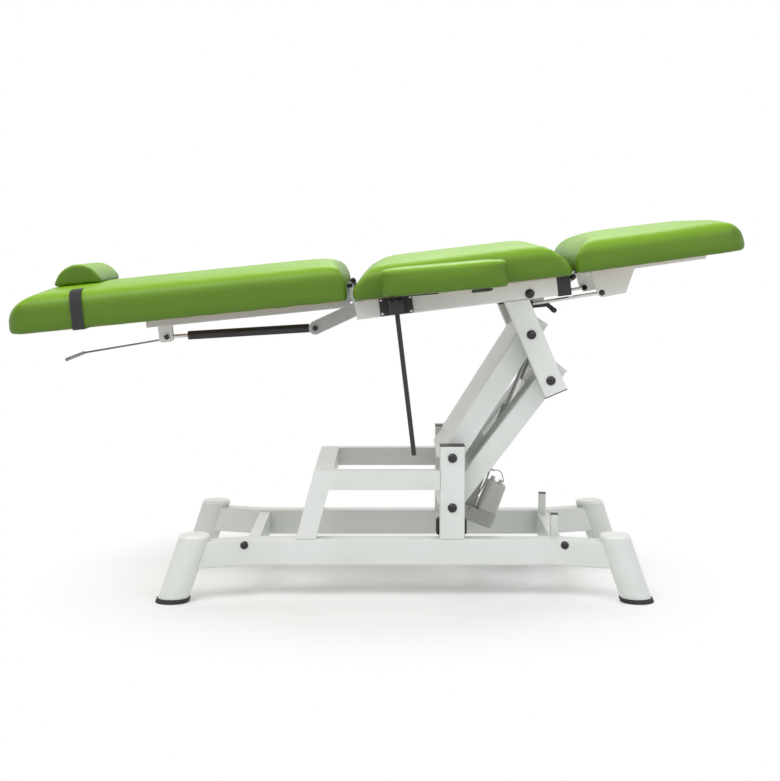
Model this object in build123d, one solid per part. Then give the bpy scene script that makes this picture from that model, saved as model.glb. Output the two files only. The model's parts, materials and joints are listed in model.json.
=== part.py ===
from build123d import *
import os
from math import atan2, cos, degrees, hypot, radians, sin, tan

# Electric three-section treatment couch, shown raised and flat with its head end slightly down.
# X runs from the head end to the foot end, Y away from the near side, Z up from the floor.
# The origin is the middle of the couch's length and width, on the floor. Places in this file are measured
# from the middle of the four feet, and every piece is moved over when it is written. All sizes are in mm.

# Base
FOOT_X = 605.0
FOOT_Y = 295.0
LEG_DIA = 76.0
LEG_WALL = 3.0
LEG_TOP = 166.0
LEG_LEAN_X = 19.0
LEG_LEAN_Y = 7.0
LEG_CAP = 9.0
LEG_CAP_PLUG = 12.0
LEG_CAP_ROUND = 6.5
PAD_DIA = 83.0
PAD_HEIGHT = 12.0
PAD_SEAT = 6.0
BEAM_HEIGHT = 70.0
BEAM_DEPTH = 50.0
BEAM_BOTTOM = 86.0
BEAM_OUTER_Y = 250.0
BEAM_KNEE_X = 405.0
TUBE_WALL = 3.0
TUBE_CORNER = 5.0
CROSS_WIDTH = 30.0
CROSS_HEIGHT = 60.0
HEAD_CROSS_X = -399.0
FOOT_CROSS_X = 401.0
LIFT_CROSS_X = 140.0
LIFT_CROSS_WIDTH = 40.0
LIFT_CROSS_TOP = 140.0
POST_X = 125.0
POST_WIDTH = 65.0
POST_TOP = 400.0
CAP_THICK = 2.5
PLUG_DEPTH = 10.0
PLUG_PLAY = 2.0
BRACE_WIDTH = 50.0
BRACE_DEPTH = 40.0
BRACE_TOP = 336.0
BRACE_CORNER_X = -236.5
BRACE_FOOT_X = -285.0
STOP_X = 399.0
STOP_Y = 176.0
STOP_WIDTH = 20.0
STOP_DEPTH = 24.0
STOP_TOP = 212.2
BOLT_DIA = 16.0
BOLT_HEAD_DIA = 24.0
BOLT_HEAD = 8.0
SMALL_BOLT_DIA = 10.0
SMALL_HEAD_DIA = 21.0
BEAM_BOLT_X = 420.0
BEAM_BOLT_Z = 141.0
CONTROL_X = (84.0, 165.0)
CONTROL_Z = (158.0, 201.0)
CONTROL_DEPTH = 30.0
CONTROL_CORNER = 7.0

# Lift arms, as pivot positions with the couch raised
UPPER_PIVOT_Z = 370.0
LOWER_PIVOT_Z = 239.0
UPPER_ARM_LENGTH = 381.0
UPPER_ARM_ANGLE = 57.8
LOWER_ARM_LENGTH = 419.7
LOWER_ARM_ANGLE = 52.7
ARM_HALF_WIDTH = 186.0
ARM_WALL = 4.0
ARM_BEND = 6.0
UPPER_ARM_DEPTH = 58.0
LOWER_ARM_DEPTH = 53.0
ARM_OVERHANG = 46.0
ARM_TAIL = 26.0
ARM_WINDOW = (185.0, 372.0)
ARM_WINDOW_HALF = 60.0
BUSH_DIA = 30.0
RUN_FIT = 0.05
PLAY = 0.3

# Seat frame, in its own tilted frame: U along the side tube, W square to it. It is placed from the upper
# arm's top pivot.
SEAT_HEAD_U = -443.6
SEAT_UNDER_W = 91.8
SEAT_TILT = 6.87
SEAT_TUBE_HEIGHT = 50.0
SEAT_TUBE_WIDTH = 42.0
SEAT_TUBE_SETBACK = 41.6
END_BLOCK = 35.0
LINK_WIDTH = 61.0
LINK_DEPTH = 50.0
LINK_OVERHANG = 36.0
LINK_BACK = 180.0
TUBE_BOLT_U = 7.4
TUBE_BOLT_W = 14.0
ARM_SLOT_U = 225.3
ARM_SLOT_W = 37.9
ARM_SLOT = (55.0, 9.0)
SEAT_CROSS_WIDTH = 30.0
SEAT_CROSS_HEIGHT = 40.0
SEAT_CROSS_WALL = 2.0
SEAT_CROSS_W = 5.0
HEAD_BAR_U = 4.0
MID_BAR_U = 250.0
FOOT_BAR_SETBACK = 54.0
SEAT_LENGTH = 570.0
SEAT_THICK = 97.0
CUSHION_WIDTH = 620.0
CUSHION_EDGE = 34.0
CUSHION_CROWN = 11.0
CROWN_CLEAR = 1.0
PLAN_CLEAR = 0.5             # the plan outline stands this far outside the straight sides and ends
END_CORNER = 60.0
HINGE_CORNER = 16.0
BOARD = 12.0
BOARD_INSET = 22.0
EAR = 6.0
EAR_GAP = 0.6
HINGE_HEIGHT = 38.0
HINGE_DIA = 8.0
HINGE_EYE = 8.0
BACK_HINGE_U = -9.4
BACK_SEAT_W = 2.3
LEG_HINGE_DROP = 7.9
SECTION_GAP = 10.0

# Back section, in its own tilted frame with U negative towards the head
BACK_TILT = 5.8
BACK_LENGTH = 884.0
BACK_THICK = 108.0
RAIL_HEIGHT = 20.0
RAIL_WIDTH = 30.0
RAIL_WALL = 2.0
RAIL_ROUND = 3.0
RAIL_SETBACK = 8.0
BAR_WIDTH = 30.0
BACK_BAR_U = -110.0
BACK_RAIL_LENGTH = 534.0
BACK_BRACKET_U = -517.0
BACK_BRACKET_W = -57.9
SPRING_ARM_U = -121.9
SPRING_ARM_W = -20.1
FORK_WIDTH = 36.0
FORK_PLATE = 5.0
SPRING_DIA = 24.0
SPRING_BODY_START = 17.0
SPRING_BODY_END = 350.0
SPRING_ROD_DIA = 10.0
SPRING_ROD_LENGTH = 290.0
SPRING_EYE_DIA = 18.0
LEVER_U = -533.4
LEVER_W = -65.7
LEVER_END_U = -756.0
LEVER_END_W = -80.3
LEVER_Y = 25.0
LEVER_WIRE = 5.0
GRIP_DIA = 9.0
GRIP_NEAR_Y = -215.0
PILLOW_U = -716.0
PILLOW_WIDTH = 130.0
PILLOW_HEIGHT = 55.0
PILLOW_LENGTH = 300.0
STRAP_U = -697.0
STRAP_WIDTH = 30.0
STRAP_THICK = 2.0

# Leg section, in its own tilted frame
LEG_TILT = 8.0
LEG_LENGTH = 446.0
LEG_THICK = 92.0
LEG_BASE = 10.0
LEG_RAIL_HEIGHT = 12.0
LEG_EYE = 8.0
LEG_RAIL_LENGTH = 352.0
LEG_BAR_U = (75.0, 320.0)
GUSSET_THICK = 4.0
GUSSET_U = 70.9
GUSSET_W = -51.8
STRUT_U = -16.0
STRUT_W = 74.8
STRUT_Y = 190.0
STRUT_ROD_DIA = 9.0
STRUT_SLEEVE_DIA = 18.0
STRUT_SLEEVE = 66.0
STRUT_TAIL = 30.0
LEG_LEVER_U = -7.6
LEG_LEVER_W = 71.0
LEG_GRIP_BEND = (66.0, 4.0)
LEG_GRIP_END = (84.0, -11.0)
LEG_GRIP_DIA = 14.0
LEG_GRIP_HALF = 18.0
LEG_LEVER_Y = -140.0

# Lifting actuator, in its own frame with U along the screw
ACT_X = 158.9
ACT_Z = 159.3
ACT_ANGLE = 68.4
ACT_LENGTH = 535.0
ACT_TUBE_END = 346.0
ACT_TUBE_DIA = 30.0
ACT_ROD_DIA = 18.0
ACT_EYE_DIA = 28.0
ACT_EYE_WIDTH = 26.0
ACT_PIN_DIA = 12.0
ACT_ROD_LENGTH = 306.0
GEAR_START = 14.0
GEAR_END = 52.0
MOTOR_END = 137.0
MOTOR_REACH = 81.0
MOTOR_INNER = 24.0
MOTOR_HALF = 33.0
MOTOR_TAPER = 4.0
MOTOR_CORNER = 15.0
SEAM_GROOVE = 1.2
GLAND_DIA = 12.0
GLAND_LENGTH = 12.0
CLEVIS_EAR = 6.0

# Armrests, placed in the seat frame
REST_U = 105.0
REST_Y = 354.0
REST_ROD_DIA = 12.0
REST_ROD_LOW = -354.0
CLAMP_WIDTH = 86.0
CLAMP_PLATE = 6.0
CLAMP_LOW = 2.0
CLAMP_HIGH = 50.0
CLAMP_BOSS = 36.0
CLAMP_REACH = 20.0
KNOB_DIA = 39.0
KNOB_THICK = 14.0
KNOB_LOBES = 5
PAD_LENGTH = 319.0
PAD_WIDTH = 100.0
PAD_THICK = 68.0
PAD_TILT = 1.9
PAD_CORNER = 28.0
PAD_INBOARD = 32.0
PAD_BACK = 33.0
PAD_PLATE = 4.0
PAD_DROP = -1.0

# Derived places
BEAM_Y = BEAM_OUTER_Y - BEAM_DEPTH / 2
BEAM_INNER_Y = BEAM_OUTER_Y - BEAM_DEPTH
BEAM_TOP = BEAM_BOTTOM + BEAM_HEIGHT
SEAT_TUBE_INNER = BEAM_OUTER_Y - SEAT_TUBE_WIDTH
RAIL_OUTER_Y = SEAT_TUBE_INNER - 2 * EAR - EAR_GAP


def rotated(u, w, angle):
    """A point given along and across a direction, turned to X and Z."""
    a = radians(angle)
    return (u * cos(a) - w * sin(a), u * sin(a) + w * cos(a))


def world(origin, angle, u, w):
    dx, dz = rotated(u, w, angle)
    return (origin[0] + dx, origin[1] + dz)


def local(origin, angle, x, z):
    return rotated(x - origin[0], z - origin[1], -angle)


A0 = (POST_X, UPPER_PIVOT_Z)
B0 = (POST_X, LOWER_PIVOT_Z)
A1 = world(A0, UPPER_ARM_ANGLE, UPPER_ARM_LENGTH, 0)
B1 = world(B0, LOWER_ARM_ANGLE, LOWER_ARM_LENGTH, 0)
E0 = (ACT_X, ACT_Z)
E1 = world(E0, ACT_ANGLE, ACT_LENGTH, 0)
SEAT_ORIGIN = world(A1, SEAT_TILT, SEAT_HEAD_U, SEAT_UNDER_W)
BACK_ORIGIN = world(SEAT_ORIGIN, SEAT_TILT, BACK_HINGE_U, SEAT_TUBE_HEIGHT + BACK_SEAT_W)
SEAT_START = BACK_HINGE_U + SECTION_GAP / 2
SEAT_TUBE_END = SEAT_START + SEAT_LENGTH - SEAT_TUBE_SETBACK
LEG_PIVOT_U = SEAT_START + SEAT_LENGTH + SECTION_GAP / 2
LEG_PIVOT = world(SEAT_ORIGIN, SEAT_TILT, LEG_PIVOT_U, SEAT_TUBE_HEIGHT - LEG_HINGE_DROP)
HINGE_TILT = (SEAT_TILT + BACK_TILT) / 2
BACK_PIVOT = world(BACK_ORIGIN, HINGE_TILT, 0, HINGE_HEIGHT)
SPRING_ARM = world(SEAT_ORIGIN, SEAT_TILT, SPRING_ARM_U, SPRING_ARM_W)
SPRING_TOP = world(BACK_ORIGIN, BACK_TILT, BACK_BRACKET_U, BACK_BRACKET_W)
SPRING_LENGTH = hypot(SPRING_TOP[0] - SPRING_ARM[0], SPRING_TOP[1] - SPRING_ARM[1])
SPRING_ANGLE = degrees(atan2(SPRING_TOP[1] - SPRING_ARM[1], SPRING_TOP[0] - SPRING_ARM[0]))
LEVER_PIVOT = world(BACK_ORIGIN, BACK_TILT, LEVER_U, LEVER_W)
LEVER_END = world(BACK_ORIGIN, BACK_TILT, LEVER_END_U, LEVER_END_W)
STRUT = world(A1, SEAT_TILT, STRUT_U, STRUT_W)
LEG_LEVER = world(A1, SEAT_TILT, LEG_LEVER_U, LEG_LEVER_W)
GUSSET = world(LEG_PIVOT, LEG_TILT, GUSSET_U, GUSSET_W)
STRUT_LENGTH = hypot(GUSSET[0] - STRUT[0], GUSSET[1] - STRUT[1])
STRUT_ANGLE = degrees(atan2(GUSSET[1] - STRUT[1], GUSSET[0] - STRUT[0]))


def frame(origin, angle):
    """Location of a piece drawn along X and placed at an angle in the XZ plane."""
    return Location((origin[0], 0, origin[1]), (0, -angle, 0))


SEAT = frame(SEAT_ORIGIN, SEAT_TILT)
BACK = frame(BACK_ORIGIN, BACK_TILT)
LEG = frame(LEG_PIVOT, LEG_TILT)
UPPER = frame(A0, UPPER_ARM_ANGLE)
LOWER = frame(B0, LOWER_ARM_ANGLE)
ACT = frame(E0, ACT_ANGLE)


def block(x0, x1, y0, y1, z0, z1):
    return Pos((x0 + x1) / 2, (y0 + y1) / 2, (z0 + z1) / 2) * Box(x1 - x0, abs(y1 - y0), z1 - z0)


def rod_y(x, z, y0, y1, dia):
    """Round bar along Y."""
    return Pos(x, (y0 + y1) / 2, z) * (Rot(90, 0, 0) * Cylinder(dia / 2, abs(y1 - y0)))


def rod_x(x0, x1, y, z, dia):
    return Pos((x0 + x1) / 2, y, z) * (Rot(0, 90, 0) * Cylinder(dia / 2, x1 - x0))


def tube_x(x0, x1, y0, y1, z0, z1, wall, corner):
    """Rectangular hollow section along X with rounded long edges."""
    outer = RectangleRounded(abs(y1 - y0), z1 - z0, corner)
    inner = RectangleRounded(abs(y1 - y0) - 2 * wall, z1 - z0 - 2 * wall, corner - wall)
    centre = Plane((x0, (y0 + y1) / 2, (z0 + z1) / 2), x_dir=(0, 1, 0), z_dir=(1, 0, 0))
    return extrude(centre * (outer - inner), x1 - x0)


def tube_y(x0, x1, y0, y1, z0, z1, wall):
    outer = block(x0, x1, y0, y1, z0, z1)
    inner = block(x0 + wall, x1 - wall, y0 - 1, y1 + 1, z0 + wall, z1 - wall)
    return outer - inner


def far(shape):
    """The same piece mirrored to the far side."""
    return mirror(shape, Plane.XZ)


def both(shape):
    return [shape, far(shape)]


def bolt(x, z, y_face, shank_end, dia=BOLT_DIA, head_dia=BOLT_HEAD_DIA, head=BOLT_HEAD):
    """Near-side bolt with a domed black cap, its head on the face at y_face and its shank towards +Y."""
    rim = -head * 0.35
    rise = head + rim
    ball = ((head_dia / 2) ** 2 + rise ** 2) / (2 * rise)
    half_turn = atan2(head_dia / 2, ball - rise) / 2
    profile = Polyline((0, shank_end - y_face), (dia / 2, shank_end - y_face), (dia / 2, 0), (head_dia / 2,
                                                                                              0),
                       (head_dia / 2, rim))
    crest = (ball * sin(half_turn), ball - head - ball * cos(half_turn))
    dome = ThreePointArc((head_dia / 2, rim), crest, (0, -head))
    axis = Line((0, -head), (0, shank_end - y_face))
    face = make_face([profile, dome, axis])
    turned = revolve(face, Axis.Y)
    return Pos(x, y_face, z) * turned


pieces = {}


def save(name, *shapes):
    """Keeps the solids of one node until all are drawn."""
    solids = []
    for shape in shapes:
        for item in (shape if isinstance(shape, list) else [shape]):
            solids.extend(item.solids())
    pieces[name] = solids


# Legs: round tubes leaning outwards both ways, cut level at the floor and at the top
def leg_cylinder(dia, z0, z1):
    lean = Vector(-tan(radians(LEG_LEAN_X)), tan(radians(LEG_LEAN_Y)), 1)
    axis = Plane(origin=(FOOT_X, -FOOT_Y, 0), z_dir=lean)
    long_bar = axis * Cylinder(dia / 2, 4 * LEG_TOP)
    return long_bar & block(FOOT_X - 300, FOOT_X + 300, -FOOT_Y - 200, -FOOT_Y + 200, z0, z1)


def four(shape):
    left = mirror(shape, Plane.YZ)
    return [shape, far(shape), left, far(left)]


leg_outer = leg_cylinder(LEG_DIA, PAD_SEAT, LEG_TOP)
leg_bore = leg_cylinder(LEG_DIA - 2 * LEG_WALL, 0, 2 * LEG_TOP)
save("leg_tubes", four(leg_outer - leg_bore))
foot_pad = leg_cylinder(PAD_DIA, 0, PAD_HEIGHT) - leg_cylinder(LEG_DIA, PAD_SEAT, 2 * LEG_TOP)
foot_pad = chamfer(foot_pad.edges().group_by(Axis.Z)[0], 2)
save("foot_pads", four(foot_pad))
leg_cap = leg_cylinder(LEG_DIA, LEG_TOP, LEG_TOP + LEG_CAP)
leg_cap = fillet(leg_cap.edges().group_by(Axis.Z)[-1], LEG_CAP_ROUND)
leg_cap += leg_cylinder(LEG_DIA - 2 * LEG_WALL, LEG_TOP - LEG_CAP_PLUG, LEG_TOP)
save("leg_top_caps", four(leg_cap))


# Side beams: box section bent outwards at both ends and coped onto the legs
def ribbon(points, half):
    """Closed outline of a strip of even width that follows a bent line."""
    left = []
    right = []
    for i, p in enumerate(points):
        before = Vector(*p) - Vector(*points[i - 1]) if i else Vector(*points[1]) - Vector(*p)
        after = Vector(*points[i + 1]) - Vector(*p) if i < len(points) - 1 else before
        mid = (before.normalized() + after.normalized()).normalized()
        normal = Vector(-mid.Y, mid.X)
        reach = half / abs(normal.dot(Vector(-before.normalized().Y, before.normalized().X)))
        left.append((p[0] + normal.X * reach, p[1] + normal.Y * reach))
        right.append((p[0] - normal.X * reach, p[1] - normal.Y * reach))
    return make_face(Polyline(*left, *reversed(right), close=True))


beam_mid = BEAM_BOTTOM + BEAM_HEIGHT / 2
leg_mid = (FOOT_X - beam_mid * tan(radians(LEG_LEAN_X)), -FOOT_Y + beam_mid * tan(radians(LEG_LEAN_Y)))
beam_path = [(-leg_mid[0], leg_mid[1]), (-BEAM_KNEE_X, -BEAM_Y), (BEAM_KNEE_X, -BEAM_Y), leg_mid]
beam_outer = extrude(Pos(0, 0, BEAM_BOTTOM) * ribbon(beam_path, BEAM_DEPTH / 2), BEAM_HEIGHT)
level_edges = beam_outer.edges().filter_by(lambda edge: abs(edge.tangent_at(0.5).Z) < 0.1)
long_edges = level_edges.filter_by(lambda edge: edge.length > CROSS_WIDTH * 3)
beam_outer = fillet(long_edges, TUBE_CORNER)
beam_bore = extrude(Pos(0, 0, BEAM_BOTTOM + TUBE_WALL) * ribbon(beam_path, BEAM_DEPTH / 2 - TUBE_WALL),
                    BEAM_HEIGHT - 2 * TUBE_WALL)
leg_solid = leg_cylinder(LEG_DIA, 0, LEG_TOP)
beam = beam_outer - beam_bore - leg_solid - mirror(leg_solid, Plane.YZ)
beam = beam.solids().sort_by(SortBy.VOLUME)[-1]
knee = atan2(-leg_mid[1] - BEAM_Y, leg_mid[0] - BEAM_KNEE_X)
bolt_y = -BEAM_OUTER_Y - (BEAM_BOLT_X - BEAM_KNEE_X) * tan(knee)
beam_bolts = []
for side in (-1, 1):
    turned = Rot(0, 0, degrees(knee) * -side) * bolt(0, 0, 0, 20, SMALL_BOLT_DIA, SMALL_HEAD_DIA)
    placed = Pos(side * BEAM_BOLT_X, bolt_y, BEAM_BOLT_Z) * turned
    beam -= placed
    beam_bolts.extend(both(placed))
save("side_beams", both(beam))
save("beam_bolts", beam_bolts)

# Cross tubes between the beams
cross_low = BEAM_BOTTOM + (BEAM_HEIGHT - CROSS_HEIGHT) / 2
head_cross = tube_y(HEAD_CROSS_X - CROSS_WIDTH / 2, HEAD_CROSS_X + CROSS_WIDTH / 2, -BEAM_INNER_Y,
                    BEAM_INNER_Y, cross_low, cross_low + CROSS_HEIGHT, TUBE_WALL)
foot_cross = Pos(FOOT_CROSS_X - HEAD_CROSS_X, 0, 0) * head_cross
lift_cross = tube_y(LIFT_CROSS_X - LIFT_CROSS_WIDTH / 2, LIFT_CROSS_X + LIFT_CROSS_WIDTH / 2,
                    -BEAM_INNER_Y, BEAM_INNER_Y, BEAM_BOTTOM + 5, LIFT_CROSS_TOP, TUBE_WALL)
brace_cross = tube_y(BRACE_CORNER_X, BRACE_CORNER_X + BRACE_WIDTH, BRACE_DEPTH - BEAM_OUTER_Y,
                     BEAM_OUTER_Y - BRACE_DEPTH, BRACE_TOP - BRACE_WIDTH, BRACE_TOP, TUBE_WALL)
save("base_cross_tubes", head_cross, foot_cross, lift_cross, brace_cross)

# Posts that carry the lower ends of the lift arms
post = Pos(0, 0, BEAM_TOP) * extrude(
    Pos(POST_X, -BEAM_Y) * (RectangleRounded(POST_WIDTH, BEAM_DEPTH, TUBE_CORNER)
                            - RectangleRounded(POST_WIDTH - 2 * TUBE_WALL, BEAM_DEPTH - 2 * TUBE_WALL,
                                               TUBE_CORNER - TUBE_WALL)), POST_TOP - BEAM_TOP)
for pivot in (A0, B0):
    post -= rod_y(pivot[0], pivot[1], -BEAM_OUTER_Y - 1, -BEAM_INNER_Y + 1, BOLT_DIA)
save("posts", both(post))

# Brace frames: a bar from the post towards the head, turned down on a slanting foot
brace_outer = [(BRACE_FOOT_X, BEAM_TOP), (BRACE_CORNER_X, BRACE_TOP), (POST_X - POST_WIDTH / 2, BRACE_TOP),
               (POST_X - POST_WIDTH / 2, BRACE_TOP - BRACE_WIDTH)]
lean = atan2(BRACE_CORNER_X - BRACE_FOOT_X, BRACE_TOP - BEAM_TOP)
foot_width = BRACE_WIDTH / cos(lean)
inner_corner = BRACE_FOOT_X + foot_width + (BRACE_TOP - BRACE_WIDTH - BEAM_TOP) * tan(lean)
brace_points = brace_outer + [(inner_corner, BRACE_TOP - BRACE_WIDTH), (BRACE_FOOT_X + foot_width,
                                                                        BEAM_TOP)]
brace_plan = Plane((0, -BEAM_OUTER_Y, 0), x_dir=(1, 0, 0), z_dir=(0, -1, 0))
brace = extrude(brace_plan * make_face(Polyline(*brace_points, close=True)), -BRACE_DEPTH)
inner_width = BRACE_WIDTH - 2 * TUBE_WALL
bar_bore = block(BRACE_CORNER_X + BRACE_WIDTH / 2, POST_X - POST_WIDTH / 2 + 1, TUBE_WALL - BEAM_OUTER_Y,
                 BRACE_DEPTH - TUBE_WALL - BEAM_OUTER_Y, BRACE_TOP - BRACE_WIDTH + TUBE_WALL,
                 BRACE_TOP - TUBE_WALL)
foot_axis = frame((BRACE_FOOT_X + foot_width / 2, BEAM_TOP), 90 - degrees(lean))
foot_bore = foot_axis * block(-30, (BRACE_TOP - BEAM_TOP) / cos(lean) - BRACE_WIDTH,
                              TUBE_WALL - BEAM_OUTER_Y,
                              BRACE_DEPTH - TUBE_WALL - BEAM_OUTER_Y, -inner_width / 2, inner_width / 2)
brace = brace - bar_bore - foot_bore
save("brace_frames", both(brace))

# Stops that the lower arm rests on when the couch is down
stop = tube_x(0, STOP_TOP - CAP_THICK - cross_low - CROSS_HEIGHT, STOP_Y - STOP_DEPTH / 2,
              STOP_Y + STOP_DEPTH / 2, -STOP_WIDTH / 2, STOP_WIDTH / 2, 2, 3)
stop = Pos(STOP_X, 0, cross_low + CROSS_HEIGHT) * (Rot(0, -90, 0) * stop)
save("stop_posts", both(stop))

# Black plastic caps on the open tube ends of the base
post_cap = block(POST_X - POST_WIDTH / 2, POST_X + POST_WIDTH / 2, -BEAM_OUTER_Y, -BEAM_INNER_Y,
                 POST_TOP, POST_TOP + CAP_THICK)
post_cap = fillet(post_cap.edges().group_by(Axis.Z)[-1], CAP_THICK / 2)
plug_edge = TUBE_WALL + PLUG_PLAY
post_cap += block(POST_X - POST_WIDTH / 2 + plug_edge, POST_X + POST_WIDTH / 2 - plug_edge,
                  -BEAM_OUTER_Y + plug_edge, -BEAM_INNER_Y - plug_edge, POST_TOP - PLUG_DEPTH, POST_TOP)
stop_cap = block(STOP_X - STOP_WIDTH / 2, STOP_X + STOP_WIDTH / 2, STOP_Y - STOP_DEPTH / 2,
                 STOP_Y + STOP_DEPTH / 2, STOP_TOP - CAP_THICK, STOP_TOP)
stop_cap = fillet(stop_cap.edges().group_by(Axis.Z)[-1], CAP_THICK / 2)
save("base_tube_caps", both(post_cap) + both(stop_cap))

# Control box on the inner face of the near post
control = block(*CONTROL_X, -BEAM_INNER_Y, CONTROL_DEPTH - BEAM_INNER_Y, *CONTROL_Z)
control = fillet(control.edges().filter_by(Axis.Y), CONTROL_CORNER)
save("control_box", control)

# Clevis that holds the foot of the actuator
ear_in = ACT_EYE_WIDTH / 2 + PLAY
clevis = block(LIFT_CROSS_X - LIFT_CROSS_WIDTH / 2, ACT_X + 14, -ear_in - CLEVIS_EAR, ear_in + CLEVIS_EAR,
               LIFT_CROSS_TOP, LIFT_CROSS_TOP + 4)
ear_face = make_face(Polyline((LIFT_CROSS_X - 18, LIFT_CROSS_TOP + 4), (ACT_X + 14, LIFT_CROSS_TOP + 4),
                              (ACT_X + 12, ACT_Z - 2), (ACT_X + 6, ACT_Z + 9), (ACT_X - 8, ACT_Z + 9),
                              close=True))
for side in (-1, 1):
    ear_y = side * (ear_in + CLEVIS_EAR / 2) - CLEVIS_EAR / 2
    ear_plane = Plane((0, ear_y, 0), x_dir=(1, 0, 0), z_dir=(0, -1, 0))
    clevis += extrude(ear_plane * ear_face, -CLEVIS_EAR)
clevis -= rod_y(ACT_X, ACT_Z, -60, 60, ACT_PIN_DIA)
save("actuator_clevis", clevis)
clevis_pin = rod_y(ACT_X, ACT_Z, -ear_in - CLEVIS_EAR - 2, ear_in + CLEVIS_EAR + 2, ACT_PIN_DIA)
clevis_pin += rod_y(ACT_X, ACT_Z, -ear_in - CLEVIS_EAR - 5, -ear_in - CLEVIS_EAR, ACT_PIN_DIA + 6)

# Pivot bolts through the posts
shank_end = -ARM_HALF_WIDTH + 40
pivot_bolts = []
for pivot in (A0, B0):
    pivot_bolts.extend(both(bolt(pivot[0], pivot[1], -BEAM_OUTER_Y, shank_end)))
save("base_pivot_bolts", pivot_bolts, clevis_pin)


# Lift arms: wide folded channels, web on top, open below
def arm_channel(length, depth):
    section = Rectangle(2 * ARM_HALF_WIDTH, depth)
    section = fillet(section.vertices().group_by(Axis.Y)[-1], ARM_BEND)
    hollow = Pos(0, -ARM_WALL) * Rectangle(2 * (ARM_HALF_WIDTH - ARM_WALL), depth)
    hollow = fillet(hollow.vertices().group_by(Axis.Y)[-1], ARM_BEND - ARM_WALL)
    start = Plane((-ARM_TAIL, 0, 0), x_dir=(0, 1, 0), z_dir=(1, 0, 0))
    return extrude(start * (section - hollow), length + ARM_TAIL + ARM_OVERHANG)


def arm_bushes(length):
    """Bearing tubes across the arm at both pivots, with their spacing collars."""
    tubes = []
    for x in (0, length):
        half = BEAM_INNER_Y - PLAY
        bush = rod_y(x, 0, -half, half, BUSH_DIA)
        bush -= rod_y(x, 0, -half - 1, half + 1, BOLT_DIA + 2 * RUN_FIT)
        tubes.append(bush)
    return tubes


upper_arm = arm_channel(UPPER_ARM_LENGTH, UPPER_ARM_DEPTH)
lower_arm = arm_channel(LOWER_ARM_LENGTH, LOWER_ARM_DEPTH)
window = Pos((ARM_WINDOW[0] + ARM_WINDOW[1]) / 2, 0, LOWER_ARM_DEPTH / 2) * extrude(
    RectangleRounded(ARM_WINDOW[1] - ARM_WINDOW[0], 2 * ARM_WINDOW_HALF, 20), 20, both=True)
lower_arm -= window
upper_bushes = arm_bushes(UPPER_ARM_LENGTH)
lower_bushes = arm_bushes(LOWER_ARM_LENGTH)
for bush, x in zip(upper_bushes, (0, UPPER_ARM_LENGTH)):
    upper_arm = upper_arm - rod_y(x, 0, -ARM_HALF_WIDTH - 1, ARM_HALF_WIDTH + 1, BUSH_DIA) + bush
for bush, x in zip(lower_bushes, (0, LOWER_ARM_LENGTH)):
    lower_arm = lower_arm - rod_y(x, 0, -ARM_HALF_WIDTH - 1, ARM_HALF_WIDTH + 1, BUSH_DIA) + bush
save("upper_arm", UPPER * upper_arm)
save("lower_arm", LOWER * lower_arm)

# Bracket under the upper arm that takes the actuator's rod end
e1 = local(A0, UPPER_ARM_ANGLE, *E1)
under_web = UPPER_ARM_DEPTH / 2 - ARM_WALL
top_ear = make_face(Polyline((e1[0] - 60, under_web), (UPPER_ARM_LENGTH + 22, under_web), (e1[0] + 14,
                                                                                           e1[1] - 4),
                             (e1[0] + 8, e1[1] - 14), (e1[0] - 8, e1[1] - 14), (e1[0] - 16, e1[1] - 2),
                             close=True))
top_ears = []
for side in (-1, 1):
    ear_y = side * (ear_in + CLEVIS_EAR / 2) - CLEVIS_EAR / 2
    ear_plane = Plane((0, ear_y, 0), x_dir=(1, 0, 0), z_dir=(0, -1, 0))
    ear = extrude(ear_plane * top_ear, -CLEVIS_EAR)
    ear -= rod_y(UPPER_ARM_LENGTH, 0, -60, 60, BUSH_DIA)
    ear -= rod_y(e1[0], e1[1], -60, 60, ACT_PIN_DIA)
    ear += rod_y(e1[0], e1[1], side * ear_in, side * (ear_in + CLEVIS_EAR + 4), ACT_PIN_DIA + 6)
    top_ears.append(UPPER * ear)
save("actuator_top_bracket", top_ears)

# Actuator: gear case and motor cover, outer tube, and the sliding rod
gear_case = block(GEAR_START, GEAR_END, -MOTOR_HALF, MOTOR_HALF, -MOTOR_REACH, MOTOR_INNER)
gear_case = fillet(gear_case.edges().filter_by(Axis.X), 16)
gear_case = fillet(gear_case.edges().group_by(Axis.X)[0], 4)
act_eye = rod_y(0, 0, -ACT_EYE_WIDTH / 2, ACT_EYE_WIDTH / 2, ACT_EYE_DIA)
act_eye += block(0, GEAR_START + 1, -ACT_EYE_WIDTH / 2, ACT_EYE_WIDTH / 2, -ACT_EYE_DIA / 2 + 1,
                 ACT_EYE_DIA / 2 - 1)
act_eye -= rod_y(0, 0, -ACT_EYE_WIDTH, ACT_EYE_WIDTH, ACT_PIN_DIA + 2 * RUN_FIT)
gear_case += act_eye
save("actuator_gear_case", ACT * gear_case)
motor_mid = -(MOTOR_REACH + MOTOR_INNER - 2) / 2
motor_depth = MOTOR_REACH - MOTOR_INNER + 2
motor_rings = []
for x, shrink in ((GEAR_END, 0), (GEAR_END + 4, 0), (MOTOR_END, MOTOR_TAPER)):
    ring = Plane((x, 0, motor_mid), x_dir=(0, 1, 0), z_dir=(1, 0, 0))
    motor_rings.append(ring * RectangleRounded(2 * (MOTOR_HALF - 1 - shrink), motor_depth - 2 - shrink,
                                               MOTOR_CORNER))
motor = loft(motor_rings[1:])
motor = fillet(motor.edges().group_by(Axis.X)[-1], MOTOR_TAPER)
motor_collar = RectangleRounded(2 * (MOTOR_HALF - 1 - SEAM_GROOVE), motor_depth - 2 - 2 * SEAM_GROOVE,
                                MOTOR_CORNER)
motor += extrude(Plane((GEAR_END, 0, motor_mid), x_dir=(0, 1, 0), z_dir=(1, 0, 0)) * motor_collar, 5)
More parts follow.
